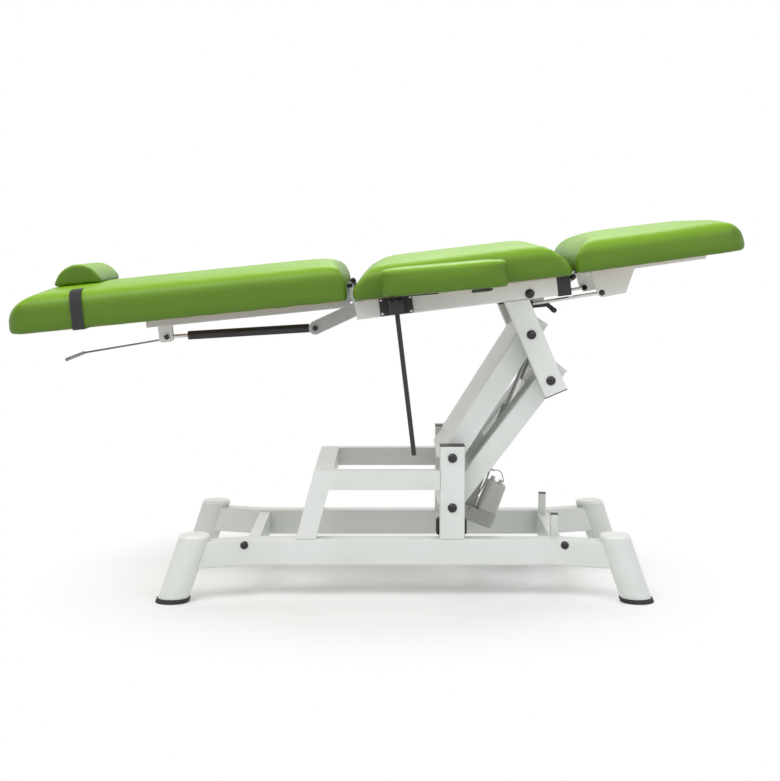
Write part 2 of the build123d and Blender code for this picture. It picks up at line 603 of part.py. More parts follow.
for y, z in ((-12, motor_mid - 8), (8, motor_mid + 14)):
    motor += rod_x(MOTOR_END - 1, MOTOR_END + GLAND_LENGTH, y, z, GLAND_DIA)
    nut = Plane((MOTOR_END - 1, y, z), x_dir=(0, 1, 0), z_dir=(1, 0,
                                                               0)) * RegularPolygon(GLAND_DIA / 2 + 2, 6)
    motor += extrude(nut, 5)
save("actuator_motor_cover", ACT * motor)
act_tube = rod_x(GEAR_END, ACT_TUBE_END, 0, 0, ACT_TUBE_DIA)
act_tube += rod_x(GEAR_END, GEAR_END + 30, 0, 0, ACT_TUBE_DIA + 10)
act_tube += rod_x(ACT_TUBE_END - 14, ACT_TUBE_END, 0, 0, ACT_TUBE_DIA + 3)
act_tube -= rod_x(GEAR_END + 6, ACT_TUBE_END + 1, 0, 0, ACT_ROD_DIA + 2 * RUN_FIT)
save("actuator_tube", ACT * act_tube)
act_rod = rod_x(ACT_LENGTH - ACT_ROD_LENGTH, ACT_LENGTH, 0, 0, ACT_ROD_DIA)
act_rod += rod_y(ACT_LENGTH, 0, -ACT_EYE_WIDTH / 2, ACT_EYE_WIDTH / 2, ACT_EYE_DIA)
save("actuator_rod", ACT * act_rod)

# Seat frame side tubes, with the slot under each armrest
tube_near = tube_x(0, SEAT_TUBE_END, -BEAM_OUTER_Y, -SEAT_TUBE_INNER, 0, SEAT_TUBE_HEIGHT, TUBE_WALL,
                   TUBE_CORNER)
slot_tool = extrude(SlotOverall(*ARM_SLOT), 2 * TUBE_WALL, both=True)
tube_near -= Pos(REST_U + ARM_SLOT_U, -BEAM_OUTER_Y, ARM_SLOT_W) * (Rot(90, 0, 0) * slot_tool)
a1 = local(SEAT_ORIGIN, SEAT_TILT, *A1)
b1 = local(SEAT_ORIGIN, SEAT_TILT, *B1)
tube_bolt = (a1[0] + TUBE_BOLT_U, TUBE_BOLT_W)
tube_near -= rod_y(*tube_bolt, -BEAM_OUTER_Y - 1, -BEAM_OUTER_Y + TUBE_WALL, BOLT_DIA)
save("seat_side_tubes", [SEAT * s for s in both(tube_near)])
end_block = block(SEAT_TUBE_END, SEAT_TUBE_END + END_BLOCK, -BEAM_OUTER_Y - 1, -SEAT_TUBE_INNER, -2,
                  SEAT_TUBE_HEIGHT - PLAY)
end_block = fillet(end_block.edges().group_by(Axis.X)[-1], 3)
end_block += block(SEAT_TUBE_END - PLUG_DEPTH, SEAT_TUBE_END, -BEAM_OUTER_Y + plug_edge,
                   -SEAT_TUBE_INNER - plug_edge, plug_edge, SEAT_TUBE_HEIGHT - plug_edge)

# Links: tubes welded under the side tubes that carry both arm pivots
link_angle = degrees(atan2(b1[1] - a1[1], b1[0] - a1[0]))
link_run = hypot(b1[0] - a1[0], b1[1] - a1[1])
link = Pos(a1[0], 0, a1[1]) * (Rot(0, -link_angle, 0) * tube_x(
    -LINK_BACK, link_run + LINK_OVERHANG, -BEAM_OUTER_Y, -BEAM_INNER_Y, -LINK_WIDTH / 2, LINK_WIDTH / 2,
    TUBE_WALL, TUBE_CORNER))
link -= block(0, SEAT_LENGTH, -BEAM_OUTER_Y - 1, -BEAM_INNER_Y + 1, 0, LINK_BACK)
for pivot in (a1, b1):
    link -= rod_y(pivot[0], pivot[1], -BEAM_OUTER_Y - 1, -BEAM_INNER_Y + 1, BOLT_DIA)
strut_local = local(SEAT_ORIGIN, SEAT_TILT, *STRUT)
link -= rod_y(strut_local[0], strut_local[1], -BEAM_INNER_Y - TUBE_WALL - 1, -BEAM_INNER_Y + 1,
              8 + 2 * RUN_FIT)
save("links", [SEAT * s for s in both(link)])
cap_x = link_run + LINK_OVERHANG
link_cap = Pos(a1[0], 0, a1[1]) * (Rot(0, -link_angle, 0) * block(
    cap_x, cap_x + 2.5, -BEAM_OUTER_Y, -BEAM_INNER_Y, -LINK_WIDTH / 2, LINK_WIDTH / 2))
save("seat_frame_caps", [SEAT * s for s in both(end_block) + both(link_cap)])

# Bolts on the links and the side tubes
link_bolts = both(bolt(a1[0], a1[1], -BEAM_OUTER_Y, shank_end))
link_bolts += both(bolt(b1[0], b1[1], -BEAM_OUTER_Y, -BEAM_INNER_Y))
link_bolts += both(bolt(*tube_bolt, -BEAM_OUTER_Y, -BEAM_OUTER_Y + TUBE_WALL))
save("link_bolts", [SEAT * s for s in link_bolts])

# Cross tubes of the seat frame and the leg release lever's bracket
seat_cross = []
for u, cross_end in ((HEAD_BAR_U, SEAT_TUBE_INNER - EAR), (MID_BAR_U, SEAT_TUBE_INNER),
                     (SEAT_TUBE_END - FOOT_BAR_SETBACK, SEAT_TUBE_INNER - EAR)):
    seat_cross.append(SEAT * tube_y(u, u + SEAT_CROSS_WIDTH, -cross_end, cross_end, SEAT_CROSS_W,
                                    SEAT_CROSS_W + SEAT_CROSS_HEIGHT, SEAT_CROSS_WALL))
save("seat_cross_tubes", seat_cross)

# Hinge ears and pins of the back section
back_pivot_seat = local(SEAT_ORIGIN, SEAT_TILT, *BACK_PIVOT)
p = back_pivot_seat
seat_ear_face = make_face(Polyline((3, 6), (48, 6), (48, SEAT_TUBE_HEIGHT - 4),
                                   (p[0] + HINGE_EYE + 5, SEAT_TUBE_HEIGHT - 1), (p[0] + HINGE_EYE, p[1]),
                                   (p[0] - HINGE_EYE * 0.3, p[1]), (p[0] - HINGE_EYE * 0.3,
                                                                    SEAT_TUBE_HEIGHT + 12),
                                   close=True))
seat_ear_face += Pos(p[0], p[1]) * Circle(HINGE_EYE)
ear_start = Plane((0, -SEAT_TUBE_INNER, 0), x_dir=(1, 0, 0), z_dir=(0, -1, 0))
seat_ear = extrude(ear_start * seat_ear_face, -EAR)
seat_ear -= rod_y(p[0], p[1], -CUSHION_WIDTH, 0, HINGE_DIA)
leg_pivot_seat = local(SEAT_ORIGIN, SEAT_TILT, *LEG_PIVOT)
q = leg_pivot_seat
leg_seat_face = make_face(Polyline((SEAT_TUBE_END - 45, 15), (SEAT_TUBE_END + END_BLOCK - 12, 15),
                                   (q[0] + LEG_EYE * 0.7, q[1] - LEG_EYE * 0.7), (q[0], q[1] + LEG_EYE),
                                   (SEAT_TUBE_END - 45, SEAT_TUBE_HEIGHT - 2), close=True))
leg_seat_face += Pos(q[0], q[1]) * Circle(LEG_EYE)
leg_seat_ear = extrude(ear_start * leg_seat_face, -EAR)
leg_seat_ear = leg_seat_ear - rod_y(q[0], q[1], -CUSHION_WIDTH, 0, HINGE_DIA)
save("hinge_ears", [SEAT * s for s in both(seat_ear) + both(leg_seat_ear)])
pin_in = -SEAT_TUBE_INNER + 2 * EAR + EAR_GAP
back_pin = bolt(p[0], p[1], -SEAT_TUBE_INNER, pin_in + 8, HINGE_DIA, 14, 4)
back_pin += rod_y(p[0], p[1], pin_in + PLAY, pin_in + 7, 14)
leg_pin = bolt(q[0], q[1], -SEAT_TUBE_INNER, pin_in + 8, HINGE_DIA, 16, 6)
leg_pin += rod_y(q[0], q[1], pin_in + PLAY, pin_in + 7, 15)
save("hinge_pins", [SEAT * s for s in both(back_pin) + both(leg_pin)])

# Fork that carries the foot of the back section's gas spring
fork_local = local(SEAT_ORIGIN, SEAT_TILT, *SPRING_ARM)
fork_end = (HEAD_BAR_U + 10, SEAT_CROSS_W + SEAT_CROSS_HEIGHT / 2 - 1)
fork_angle = degrees(atan2(fork_end[1] - fork_local[1], fork_end[0] - fork_local[0]))
fork_run = hypot(fork_end[1] - fork_local[1], fork_end[0] - fork_local[0])
fork_half = SPRING_DIA / 2 + PLAY
fork_bar = block(HEAD_BAR_U, HEAD_BAR_U + SEAT_CROSS_WIDTH, -FORK_WIDTH, FORK_WIDTH, SEAT_CROSS_W,
                 SEAT_CROSS_W + SEAT_CROSS_HEIGHT)
fork = []
for side in (-1, 1):
    y0 = side * (fork_half + FORK_PLATE / 2)
    arm = block(0, fork_run, y0 - FORK_PLATE / 2, y0 + FORK_PLATE / 2, -FORK_WIDTH / 2, FORK_WIDTH / 2)
    arm += rod_y(0, 0, y0 - FORK_PLATE / 2, y0 + FORK_PLATE / 2, FORK_WIDTH)
    arm += rod_y(0, 0, side * fork_half, side * (fork_half + 2 * FORK_PLATE), 16)
    placed = Pos(fork_local[0], 0, fork_local[1]) * (Rot(0, -fork_angle, 0) * arm) - fork_bar
    fork.append(SEAT * placed.solids().sort_by(SortBy.VOLUME)[-1])
save("spring_fork", fork)

# Armrest clamps on the side tubes, with their corner screws
boss_out = REST_Y + CLAMP_REACH
clamp = block(REST_U - CLAMP_WIDTH / 2, REST_U + CLAMP_WIDTH / 2, -BEAM_OUTER_Y - CLAMP_PLATE,
              -BEAM_OUTER_Y,
              CLAMP_LOW, CLAMP_HIGH)
boss_mid = (CLAMP_LOW + CLAMP_HIGH) / 2
boss = block(REST_U - CLAMP_BOSS / 2, REST_U + CLAMP_BOSS / 2, -boss_out, -BEAM_OUTER_Y - CLAMP_PLATE,
             CLAMP_LOW + 6,
             CLAMP_HIGH - 6)
boss = fillet(boss.edges().filter_by(Axis.Z).group_by(Axis.Y)[0], 10)
clamp += boss
clamp -= Pos(REST_U, -REST_Y, boss_mid) * Cylinder(REST_ROD_DIA / 2 + RUN_FIT, 200)
clamp -= rod_y(REST_U, boss_mid, -boss_out - 1, -REST_Y, 8 + 2 * RUN_FIT)
screws = []
for du in (-1, 1):
    for w in (CLAMP_LOW + 6, CLAMP_HIGH - 6):
        u = REST_U + du * (CLAMP_WIDTH / 2 - 6)
        screw = bolt(u, w, -BEAM_OUTER_Y - CLAMP_PLATE, -BEAM_OUTER_Y - 1, 4, 8, 2.2)
        clamp -= screw
        screws.extend(both(screw))
save("armrest_clamps", [SEAT * s for s in both(clamp)])
save("clamp_screws", [SEAT * s for s in screws])


def star_knob():
    """Lobed hand knob with its clamping stud, turning about Y."""
    face = Circle(KNOB_DIA / 2 - 4)
    for i in range(KNOB_LOBES):
        face += Rot(0, 0, 360 / KNOB_LOBES * i + 90) * (Pos(KNOB_DIA / 2 - 7, 0) * Circle(7))
    knob = extrude(face, KNOB_THICK)
    knob = fillet(knob.edges().group_by(Axis.Z)[-1], 1.5)
    knob += Pos(0, 0, KNOB_THICK) * Cylinder(8, 4)
    stud = CLAMP_REACH - REST_ROD_DIA / 2 - PLAY
    knob += Pos(0, 0, -stud / 2) * Cylinder(4, stud)
    return Pos(REST_U, -boss_out - PLAY, boss_mid) * (Rot(90, 0, 0) * knob)


knob_near = star_knob()
save("near_clamp_knob", SEAT * knob_near)
save("far_clamp_knob", SEAT * far(knob_near))

# Armrests: round rod, mounting plate and padded board
pad_low = CLAMP_HIGH + PAD_DROP
rest_rod = Pos(REST_U, -REST_Y, (REST_ROD_LOW + pad_low) / 2) * Cylinder(REST_ROD_DIA / 2,
                                                                         pad_low - REST_ROD_LOW)
rest_rod = chamfer(rest_rod.edges().group_by(Axis.Z)[0], 1.5)
PAD = Location((REST_U, -REST_Y, pad_low + PLAY), (0, PAD_TILT, 0))
plate = extrude(Pos(45, -14) * RectangleRounded(130, 60, 8), PAD_PLATE)
plate_block = Pos(0, 0, 1) * Cylinder(14, 8)
rest_plate = PAD * (Pos(0, 0, 2) * plate + plate_block)
rest_plate -= block(REST_U - 30, REST_U + 30, -REST_Y - 30, -REST_Y + 30, 0, pad_low + PLAY / 2)
pad_plan = RectangleRounded(PAD_LENGTH, PAD_WIDTH, PAD_CORNER)
pad_face = Pos(-PAD_BACK + PAD_LENGTH / 2, PAD_INBOARD - PAD_WIDTH / 2) * pad_plan
rest_pad = extrude(Pos(0, 0, 2 + PAD_PLATE) * pad_face, PAD_THICK)
rest_pad = fillet(rest_pad.edges().group_by(Axis.Z)[-1], 9)
rest_pad = fillet(rest_pad.edges().group_by(Axis.Z)[0], 6)
rest_pad = PAD * rest_pad
for name, side in (("near", lambda s: s), ("far", far)):
    save(f"{name}_armrest_rod", SEAT * side(rest_rod))
    save(f"{name}_armrest_plate", SEAT * side(rest_plate))
    save(f"{name}_armrest_pad", SEAT * side(rest_pad))


def side_profile(start, length, thick, head_end, foot_end, drop):
    """Side outline of a cushion, W upwards. Each end has a shoulder: its reach, its depth, how far and how
    high its skin leans before it turns, and where it turns flat. The foot end's top is lower by drop."""
    a, b, lean, rise, flat = head_end
    c, d, foot_lean, foot_rise, foot_flat = foot_end
    end = start + length
    top = thick - drop
    return make_face([
        Line((start, 0), (start, thick - b)),
        Bezier((start, thick - b), (start + lean, thick - b + rise), (start + flat, thick), (start + a,
                                                                                             thick)),
        Line((start + a, thick), (end - c, top)),
        Bezier((end - c, top), (end - foot_flat, top), (end - foot_lean, top - d + foot_rise), (end,
                                                                                                top - d)),
        Line((end, top - d), (end, 0)),
        Line((end, 0), (start, 0))])


def round_shoulder(reach, depth):
    """A shoulder close to a quarter of an ellipse."""
    return (reach, depth, 0, 0.55 * depth, 0.45 * reach)


def cross_profile(thick):
    """Section across a cushion: upright sides, rounded shoulders and a crowned top."""
    half = CUSHION_WIDTH / 2
    side = thick - CUSHION_CROWN
    r = CUSHION_EDGE
    return make_face([
        Line((-half, 0), (-half, side - r)),
        ThreePointArc((-half, side - r), (-half + r * 0.293, side - r * 0.293), (-half + r, side)),
        ThreePointArc((-half + r, side), (0, thick), (half - r, side)),
        ThreePointArc((half - r, side), (half - r * 0.293, side - r * 0.293), (half, side - r)),
        Line((half, side - r), (half, 0)),
        Line((half, 0), (-half, 0))])


def plan_view(start, length, width, head_corner, foot_corner):
    face = Pos(start + length / 2, 0) * Rectangle(length, width)
    face = fillet(face.vertices().group_by(Axis.X)[0], head_corner)
    return fillet(face.vertices().group_by(Axis.X)[-1], foot_corner)


def cushion(start, length, thick, ends, corners, drop=0):
    """Foam block cut by its side outline, its cross section and its plan."""
    along = Plane((0, CUSHION_WIDTH / 2 + 5, 0), x_dir=(1, 0, 0), z_dir=(0, -1, 0))
    across = Plane((start - 5, 0, 0), x_dir=(0, 1, 0), z_dir=(1, 0, 0))
    body = extrude(along * side_profile(start, length, thick + CROWN_CLEAR, *ends, drop), CUSHION_WIDTH + 10)
    body = body & extrude(across * cross_profile(thick), length + 10)
    plan = plan_view(start - PLAN_CLEAR, length + 2 * PLAN_CLEAR, CUSHION_WIDTH + 2 * PLAN_CLEAR, *corners)
    return body & (Pos(0, 0, -5) * extrude(plan, thick + 10))


def board_under(start, length, corners):
    inset = [max(corner - BOARD_INSET, TUBE_CORNER) for corner in corners]
    return extrude(plan_view(start + BOARD_INSET, length - 2 * BOARD_INSET, CUSHION_WIDTH - 2 * BOARD_INSET,
                             *inset), BOARD)


def hinge_slots(u0, u1):
    slot_y = (SEAT_TUBE_INNER + 9, SEAT_TUBE_INNER - 2 * EAR - EAR_GAP - 10)
    cut = block(u0, u1, -slot_y[0], -slot_y[1], -1, HINGE_HEIGHT + 18)
    return [cut, far(cut)]


# Seat cushion on its board
SEAT_TOP = Location((0, 0, SEAT_TUBE_HEIGHT))
seat_corners = (HINGE_CORNER, HINGE_CORNER)
seat_cushion = cushion(SEAT_START, SEAT_LENGTH, SEAT_THICK, ((120, 67, 18, 18, 48), (124, 80, 4, 18, 50)),
                       seat_corners)
seat_board = board_under(SEAT_START, SEAT_LENGTH, seat_corners)
for cut in hinge_slots(SEAT_START - 5, SEAT_START + 20):
    seat_cushion -= cut
    seat_board -= cut
seat_cushion -= seat_board
save("seat_board", SEAT * (SEAT_TOP * seat_board))
save("seat_cushion", SEAT * (SEAT_TOP * seat_cushion))

# Back section: rails, cross bars, ears, bracket, board and cushion
back_start = -BACK_LENGTH - SECTION_GAP / 2
back_corners = (END_CORNER, HINGE_CORNER)
back_ends = (round_shoulder(150, 78), round_shoulder(52, 63))
back_cushion = cushion(back_start, BACK_LENGTH, BACK_THICK, back_ends, back_corners)
back_board = board_under(back_start, BACK_LENGTH, back_corners)
for cut in hinge_slots(-SECTION_GAP / 2 - 22, 5):
    back_cushion -= cut
    back_board -= cut
back_cushion -= back_board
save("back_board", BACK * back_board)
save("back_cushion", BACK * back_cushion)
rail = tube_x(-BACK_RAIL_LENGTH - RAIL_SETBACK, -RAIL_SETBACK, -RAIL_OUTER_Y, -RAIL_OUTER_Y + RAIL_WIDTH,
              -RAIL_HEIGHT, 0, RAIL_WALL, RAIL_ROUND)
back_pivot_back = local(BACK_ORIGIN, BACK_TILT, *BACK_PIVOT)
p = back_pivot_back
back_ear_face = make_face(Polyline((-60, -RAIL_HEIGHT + 3), (-6, -RAIL_HEIGHT + 3),
                                   (p[0] + HINGE_EYE * 0.6, p[1] - HINGE_EYE), (p[0], p[1]),
                                   (p[0] - HINGE_EYE, p[1]),
                                   (p[0] - HINGE_EYE - 4, -1), (-60, -4), close=True))
back_ear_face += Pos(p[0], p[1]) * Circle(HINGE_EYE)
back_ear_start = Plane((0, -RAIL_OUTER_Y - EAR, 0), x_dir=(1, 0, 0), z_dir=(0, -1, 0))
back_ear = extrude(back_ear_start * back_ear_face, -EAR)
back_ear -= rod_y(p[0], p[1], -CUSHION_WIDTH, 0, HINGE_DIA + 2 * RUN_FIT)
bars = []
rail_in = RAIL_OUTER_Y - RAIL_WIDTH
for u in (BACK_BAR_U, BACK_BRACKET_U):
    bars.append(tube_y(u - BAR_WIDTH / 2, u + BAR_WIDTH / 2, -rail_in, rail_in, -RAIL_HEIGHT, 0, RAIL_WALL))
back_frame = rail + back_ear + far(rail + back_ear)
for bar in bars:
    back_frame += bar
save("back_frame", BACK * back_frame)
ear_half = SPRING_ROD_DIA / 2 + 3
bracket_parts = []
for side in (-1, 1):
    y0 = side * (ear_half + PLAY + 2)
    plate_ear = block(BACK_BRACKET_U - 22, BACK_BRACKET_U + 16, y0 - 2, y0 + 2, BACK_BRACKET_W - 14,
                      -RAIL_HEIGHT)
    plate_ear = fillet(plate_ear.edges().filter_by(Axis.Y).group_by(Axis.Z)[0], 8)
    plate_ear += rod_y(BACK_BRACKET_U, BACK_BRACKET_W, side * (ear_half + PLAY),
                       side * (ear_half + PLAY + 9), 18)
    bracket_parts.append(BACK * plate_ear)
lever_face = ear_half + PLAY + 4
bracket_parts[1] += rod_y(*LEVER_PIVOT, lever_face, LEVER_Y + LEVER_WIRE / 2 + 2, 6)
save("back_bracket", bracket_parts)

# Gas spring of the back section
SPRING = frame(SPRING_ARM, SPRING_ANGLE)
cylinder = rod_x(SPRING_BODY_START, SPRING_BODY_END, 0, 0, SPRING_DIA)
cylinder = fillet(cylinder.edges().filter_by(GeomType.CIRCLE), 2)
cylinder += rod_x(0, SPRING_BODY_START + 3, 0, 0, 12)
cylinder += rod_y(0, 0, -SPRING_DIA / 2, SPRING_DIA / 2, SPRING_EYE_DIA)
cylinder -= rod_x(SPRING_BODY_START + 12, SPRING_BODY_END + 1, 0, 0, SPRING_ROD_DIA + 2 * RUN_FIT)
save("back_spring_cylinder", SPRING * cylinder)
spring_rod = rod_x(SPRING_LENGTH - SPRING_ROD_LENGTH, SPRING_LENGTH, 0, 0, SPRING_ROD_DIA)
spring_rod += rod_y(SPRING_LENGTH, 0, -ear_half, ear_half, SPRING_EYE_DIA)
save("back_spring_rod", SPRING * spring_rod)

# Release lever of the back section: bent wire with a grip bar across
lever_run = hypot(LEVER_END[0] - LEVER_PIVOT[0], LEVER_END[1] - LEVER_PIVOT[1])
lever_angle = degrees(atan2(LEVER_END[1] - LEVER_PIVOT[1], LEVER_END[0] - LEVER_PIVOT[0]))
WIRE = frame(LEVER_PIVOT, lever_angle)
wire = rod_x(5, lever_run, LEVER_Y, 0, LEVER_WIRE)
wire += rod_y(0, 0, lever_face + PLAY, LEVER_Y + LEVER_WIRE / 2, 14)
grip = rod_y(lever_run, 0, GRIP_NEAR_Y, LEVER_Y + LEVER_WIRE / 2 + 1, GRIP_DIA)
wire += fillet(grip.edges().filter_by(GeomType.CIRCLE), 2)
wire -= rod_y(0, 0, 0, 2 * LEVER_Y, 6 + 2 * RUN_FIT)
save("back_release_lever", WIRE * wire)

# Pillow: half-round bolster held by an elastic strap round the back section
pillow_face = make_face([
    Line((-PILLOW_WIDTH / 2, 0), (PILLOW_WIDTH / 2, 0)),
    ThreePointArc((PILLOW_WIDTH / 2, 0), (0, PILLOW_HEIGHT), (-PILLOW_WIDTH / 2, 0))])
pillow_low = BACK_THICK + STRAP_THICK + PLAY
pillow_plane = Plane((PILLOW_U, PILLOW_LENGTH / 2, pillow_low), x_dir=(1, 0, 0), z_dir=(0, -1, 0))
pillow = extrude(pillow_plane * pillow_face, PILLOW_LENGTH)
save("pillow", BACK * pillow)


def strap_loop(gap):
    """Flat outline round the cushion's section, standing off by gap."""
    half = CUSHION_WIDTH / 2 + gap
    side = BACK_THICK - CUSHION_CROWN + gap
    r = CUSHION_EDGE + gap
    low = -gap
    return make_face([
        Line((-half, low), (-half, side - r)),
        ThreePointArc((-half, side - r), (-half + r * 0.293, side - r * 0.293), (-half + r, side)),
        ThreePointArc((-half + r, side), (0, BACK_THICK + gap), (half - r, side)),
        ThreePointArc((half - r, side), (half - r * 0.293, side - r * 0.293), (half, side - r)),
        Line((half, side - r), (half, low)),
        Line((half, low), (-half, low))])


strap_plane = Plane((STRAP_U - STRAP_WIDTH / 2, 0, 0), x_dir=(0, 1, 0), z_dir=(1, 0, 0))
strap_outer = extrude(strap_plane * strap_loop(PLAY + STRAP_THICK), STRAP_WIDTH)
strap_inner = extrude(strap_plane * strap_loop(PLAY), STRAP_WIDTH)
strap = strap_outer - strap_inner
save("pillow_strap", BACK * strap)

# Leg section: rails, bars, gussets, board and cushion
leg_corners = (HINGE_CORNER, END_CORNER)
leg_ends = (round_shoulder(92, 62), round_shoulder(80, 62))
leg_cushion = cushion(0, LEG_LENGTH, LEG_THICK, leg_ends, leg_corners, 8)
leg_board = board_under(0, LEG_LENGTH, leg_corners)
leg_cushion -= leg_board
LEG_TOP_FACE = Location((0, 0, LEG_BASE))
save("leg_board", LEG * (LEG_TOP_FACE * leg_board))
save("leg_cushion", LEG * (LEG_TOP_FACE * leg_cushion))
leg_rail = tube_x(0, LEG_RAIL_LENGTH, -RAIL_OUTER_Y, -RAIL_OUTER_Y + RAIL_WIDTH, LEG_BASE - LEG_RAIL_HEIGHT,
                  LEG_BASE, RAIL_WALL, RAIL_ROUND)
leg_ear_face = make_face(Polyline((0, -6), (44, 0), (44, LEG_BASE - 1), (0, LEG_EYE),
                                  close=True)) + Circle(LEG_EYE)
leg_ear = extrude(back_ear_start * leg_ear_face, -EAR)
leg_ear -= rod_y(0, 0, -CUSHION_WIDTH, 0, HINGE_DIA + 2 * RUN_FIT)
leg_rail -= rod_y(0, 0, -CUSHION_WIDTH, 0, HINGE_DIA + 10)
leg_frame = leg_rail + leg_ear + far(leg_rail + leg_ear)
for u in LEG_BAR_U:
    leg_frame += tube_y(u - BAR_WIDTH / 2, u + BAR_WIDTH / 2, -rail_in, rail_in, LEG_BASE - LEG_RAIL_HEIGHT,
                        LEG_BASE, RAIL_WALL)
save("leg_frame", LEG * leg_frame)
g = local(LEG_PIVOT, LEG_TILT, *GUSSET)
gusset_face = make_face(Polyline((g[0] - 22, LEG_BASE), (g[0] + 98, LEG_BASE), (g[0] + 62, g[1] - 9),
                                 (g[0] - 2, g[1] - 12), (g[0] - 12, g[1] - 4), close=True))
gusset_plane = Plane((0, -RAIL_OUTER_Y - GUSSET_THICK, 0), x_dir=(1, 0, 0), z_dir=(0, -1, 0))
gusset = extrude(gusset_plane * gusset_face, -GUSSET_THICK)
gusset += bolt(g[0], g[1], -RAIL_OUTER_Y - GUSSET_THICK, -RAIL_OUTER_Y, 8, 15, 5)
save("leg_gussets", [LEG * s for s in both(gusset)])

# Locking struts of the leg section: a rod that slides through a pivoting sleeve
STRUT_FRAME = frame(STRUT, STRUT_ANGLE)
sleeve = rod_x(-STRUT_SLEEVE / 2, STRUT_SLEEVE / 2, -STRUT_Y, 0, STRUT_SLEEVE_DIA)
sleeve += rod_y(0, 0, -BEAM_INNER_Y - TUBE_WALL + 0.5, -STRUT_Y, 8)
sleeve -= rod_x(-STRUT_SLEEVE, STRUT_SLEEVE, -STRUT_Y, 0, STRUT_ROD_DIA + 2 * RUN_FIT)
save("near_strut_sleeve", STRUT_FRAME * sleeve)
save("far_strut_sleeve", STRUT_FRAME * far(sleeve))
strut_rod = rod_x(-STRUT_TAIL, STRUT_LENGTH, -STRUT_Y, 0, STRUT_ROD_DIA)
strut_rod += rod_y(STRUT_LENGTH, 0, -RAIL_OUTER_Y + PLAY, -STRUT_Y + 7, 15)
save("near_strut_rod", STRUT_FRAME * strut_rod)
save("far_strut_rod", STRUT_FRAME * far(strut_rod))

# Release lever of the leg section: flat arm on the seat's cross tube with a round grip
lever_plan = Plane((0, LEG_LEVER_Y - 3, 0), x_dir=(1, 0, 0), z_dir=(0, -1, 0))
lever_arm = extrude(lever_plan * ribbon([(0, 0), LEG_GRIP_BEND, LEG_GRIP_END], 6), -6)
lever_arm += rod_y(0, 0, LEG_LEVER_Y - 3, LEG_LEVER_Y + 3, 18)
leg_grip = rod_y(*LEG_GRIP_END, LEG_LEVER_Y - LEG_GRIP_HALF, LEG_LEVER_Y + LEG_GRIP_HALF, LEG_GRIP_DIA)
lever_arm += fillet(leg_grip.edges().filter_by(GeomType.CIRCLE), 4)
lever_arm -= rod_y(0, 0, LEG_LEVER_Y - 10, LEG_LEVER_Y + 10, 8 + 2 * RUN_FIT)
save("leg_lever", frame(LEG_LEVER, 0) * lever_arm)
lv = local(SEAT_ORIGIN, SEAT_TILT, *LEG_LEVER)
lever_bracket = block(lv[0] - 12, lv[0] + 60, LEG_LEVER_Y + 3 + PLAY, LEG_LEVER_Y + 7 + PLAY, lv[1] - 10, 5)
lever_bracket += rod_y(lv[0], lv[1], LEG_LEVER_Y - 5, LEG_LEVER_Y + 3 + PLAY, 8)
save("leg_lever_bracket", SEAT * lever_bracket)

# Writing: one file per node, all moved so that the origin is the middle of the couch's length
head_box = pieces["back_cushion"][0].bounding_box()
foot_box = pieces["leg_cushion"][0].bounding_box()
centre_x = (head_box.min.X + foot_box.max.X) / 2
os.makedirs("parts", exist_ok=True)
for name, solids in pieces.items():
    moved = [Pos(-centre_x, 0, 0) * solid for solid in solids]
    export_step(moved[0] if len(moved) == 1 else Compound(children=moved), f"parts/{name}.step")
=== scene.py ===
import json
from math import cos, pi, radians, sin

import bmesh
import bpy
import numpy as np
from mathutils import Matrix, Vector


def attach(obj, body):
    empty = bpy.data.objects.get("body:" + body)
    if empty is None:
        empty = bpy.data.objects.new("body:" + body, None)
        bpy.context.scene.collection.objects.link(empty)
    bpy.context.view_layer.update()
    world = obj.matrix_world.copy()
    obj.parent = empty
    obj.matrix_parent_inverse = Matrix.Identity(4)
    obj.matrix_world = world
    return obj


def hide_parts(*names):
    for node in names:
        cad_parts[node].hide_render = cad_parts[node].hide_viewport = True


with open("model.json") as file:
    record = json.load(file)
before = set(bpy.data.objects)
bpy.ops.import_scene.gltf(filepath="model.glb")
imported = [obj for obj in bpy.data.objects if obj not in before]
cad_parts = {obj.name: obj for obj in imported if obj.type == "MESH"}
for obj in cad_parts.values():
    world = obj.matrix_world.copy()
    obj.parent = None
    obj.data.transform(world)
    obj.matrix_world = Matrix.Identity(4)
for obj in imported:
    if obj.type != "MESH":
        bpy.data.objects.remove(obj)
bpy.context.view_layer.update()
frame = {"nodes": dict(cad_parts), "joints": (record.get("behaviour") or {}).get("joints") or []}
nodes = frame["nodes"]

# Camera, where the photographer stood: level with the upholstery, 4.5 m off, tipped a little down.
CAMERA_PLACE = (0.0361, -4.5, 0.961)
CAMERA_TIP = radians(5.56)
CAMERA_LENS = 75.8
camera = bpy.data.objects.new("camera", bpy.data.cameras.new("camera"))
bpy.context.scene.collection.objects.link(camera)
camera.location = CAMERA_PLACE
camera.rotation_euler = (pi / 2 - CAMERA_TIP, 0, 0)
camera.data.sensor_width = 36
camera.data.lens = CAMERA_LENS
bpy.context.scene.camera = camera


# Actuator cables: a grey PVC cable runs from the left gland down beside the motor cover into the gear
# case, and a thin lead loops from gland to gland. Both turn with the actuator.
CABLE_ROUTE = ((0.3235, 0.008, 0.3005), (0.3125, -0.006, 0.3085), (0.3045, -0.04, 0.292),
               (0.2865, -0.042, 0.2545), (0.2613, -0.041, 0.2189), (0.2525, -0.032, 0.197))
LEAD_ROUTE = ((0.3245, 0.008, 0.3), (0.336, 0.006, 0.303), (0.3475, -0.006, 0.291),
              (0.349, -0.012, 0.27))
CABLE_DIA = 0.005
LEAD_DIA = 0.0022
CABLE_GREY = (0.3, 0.31, 0.29)
LEAD_GREY = (0.12, 0.12, 0.12)
WORN_TONE = 0.8


def new_material(name):
    material = bpy.data.materials.new(name)
    material.use_nodes = True
    return material, material.node_tree.nodes, material.node_tree.links


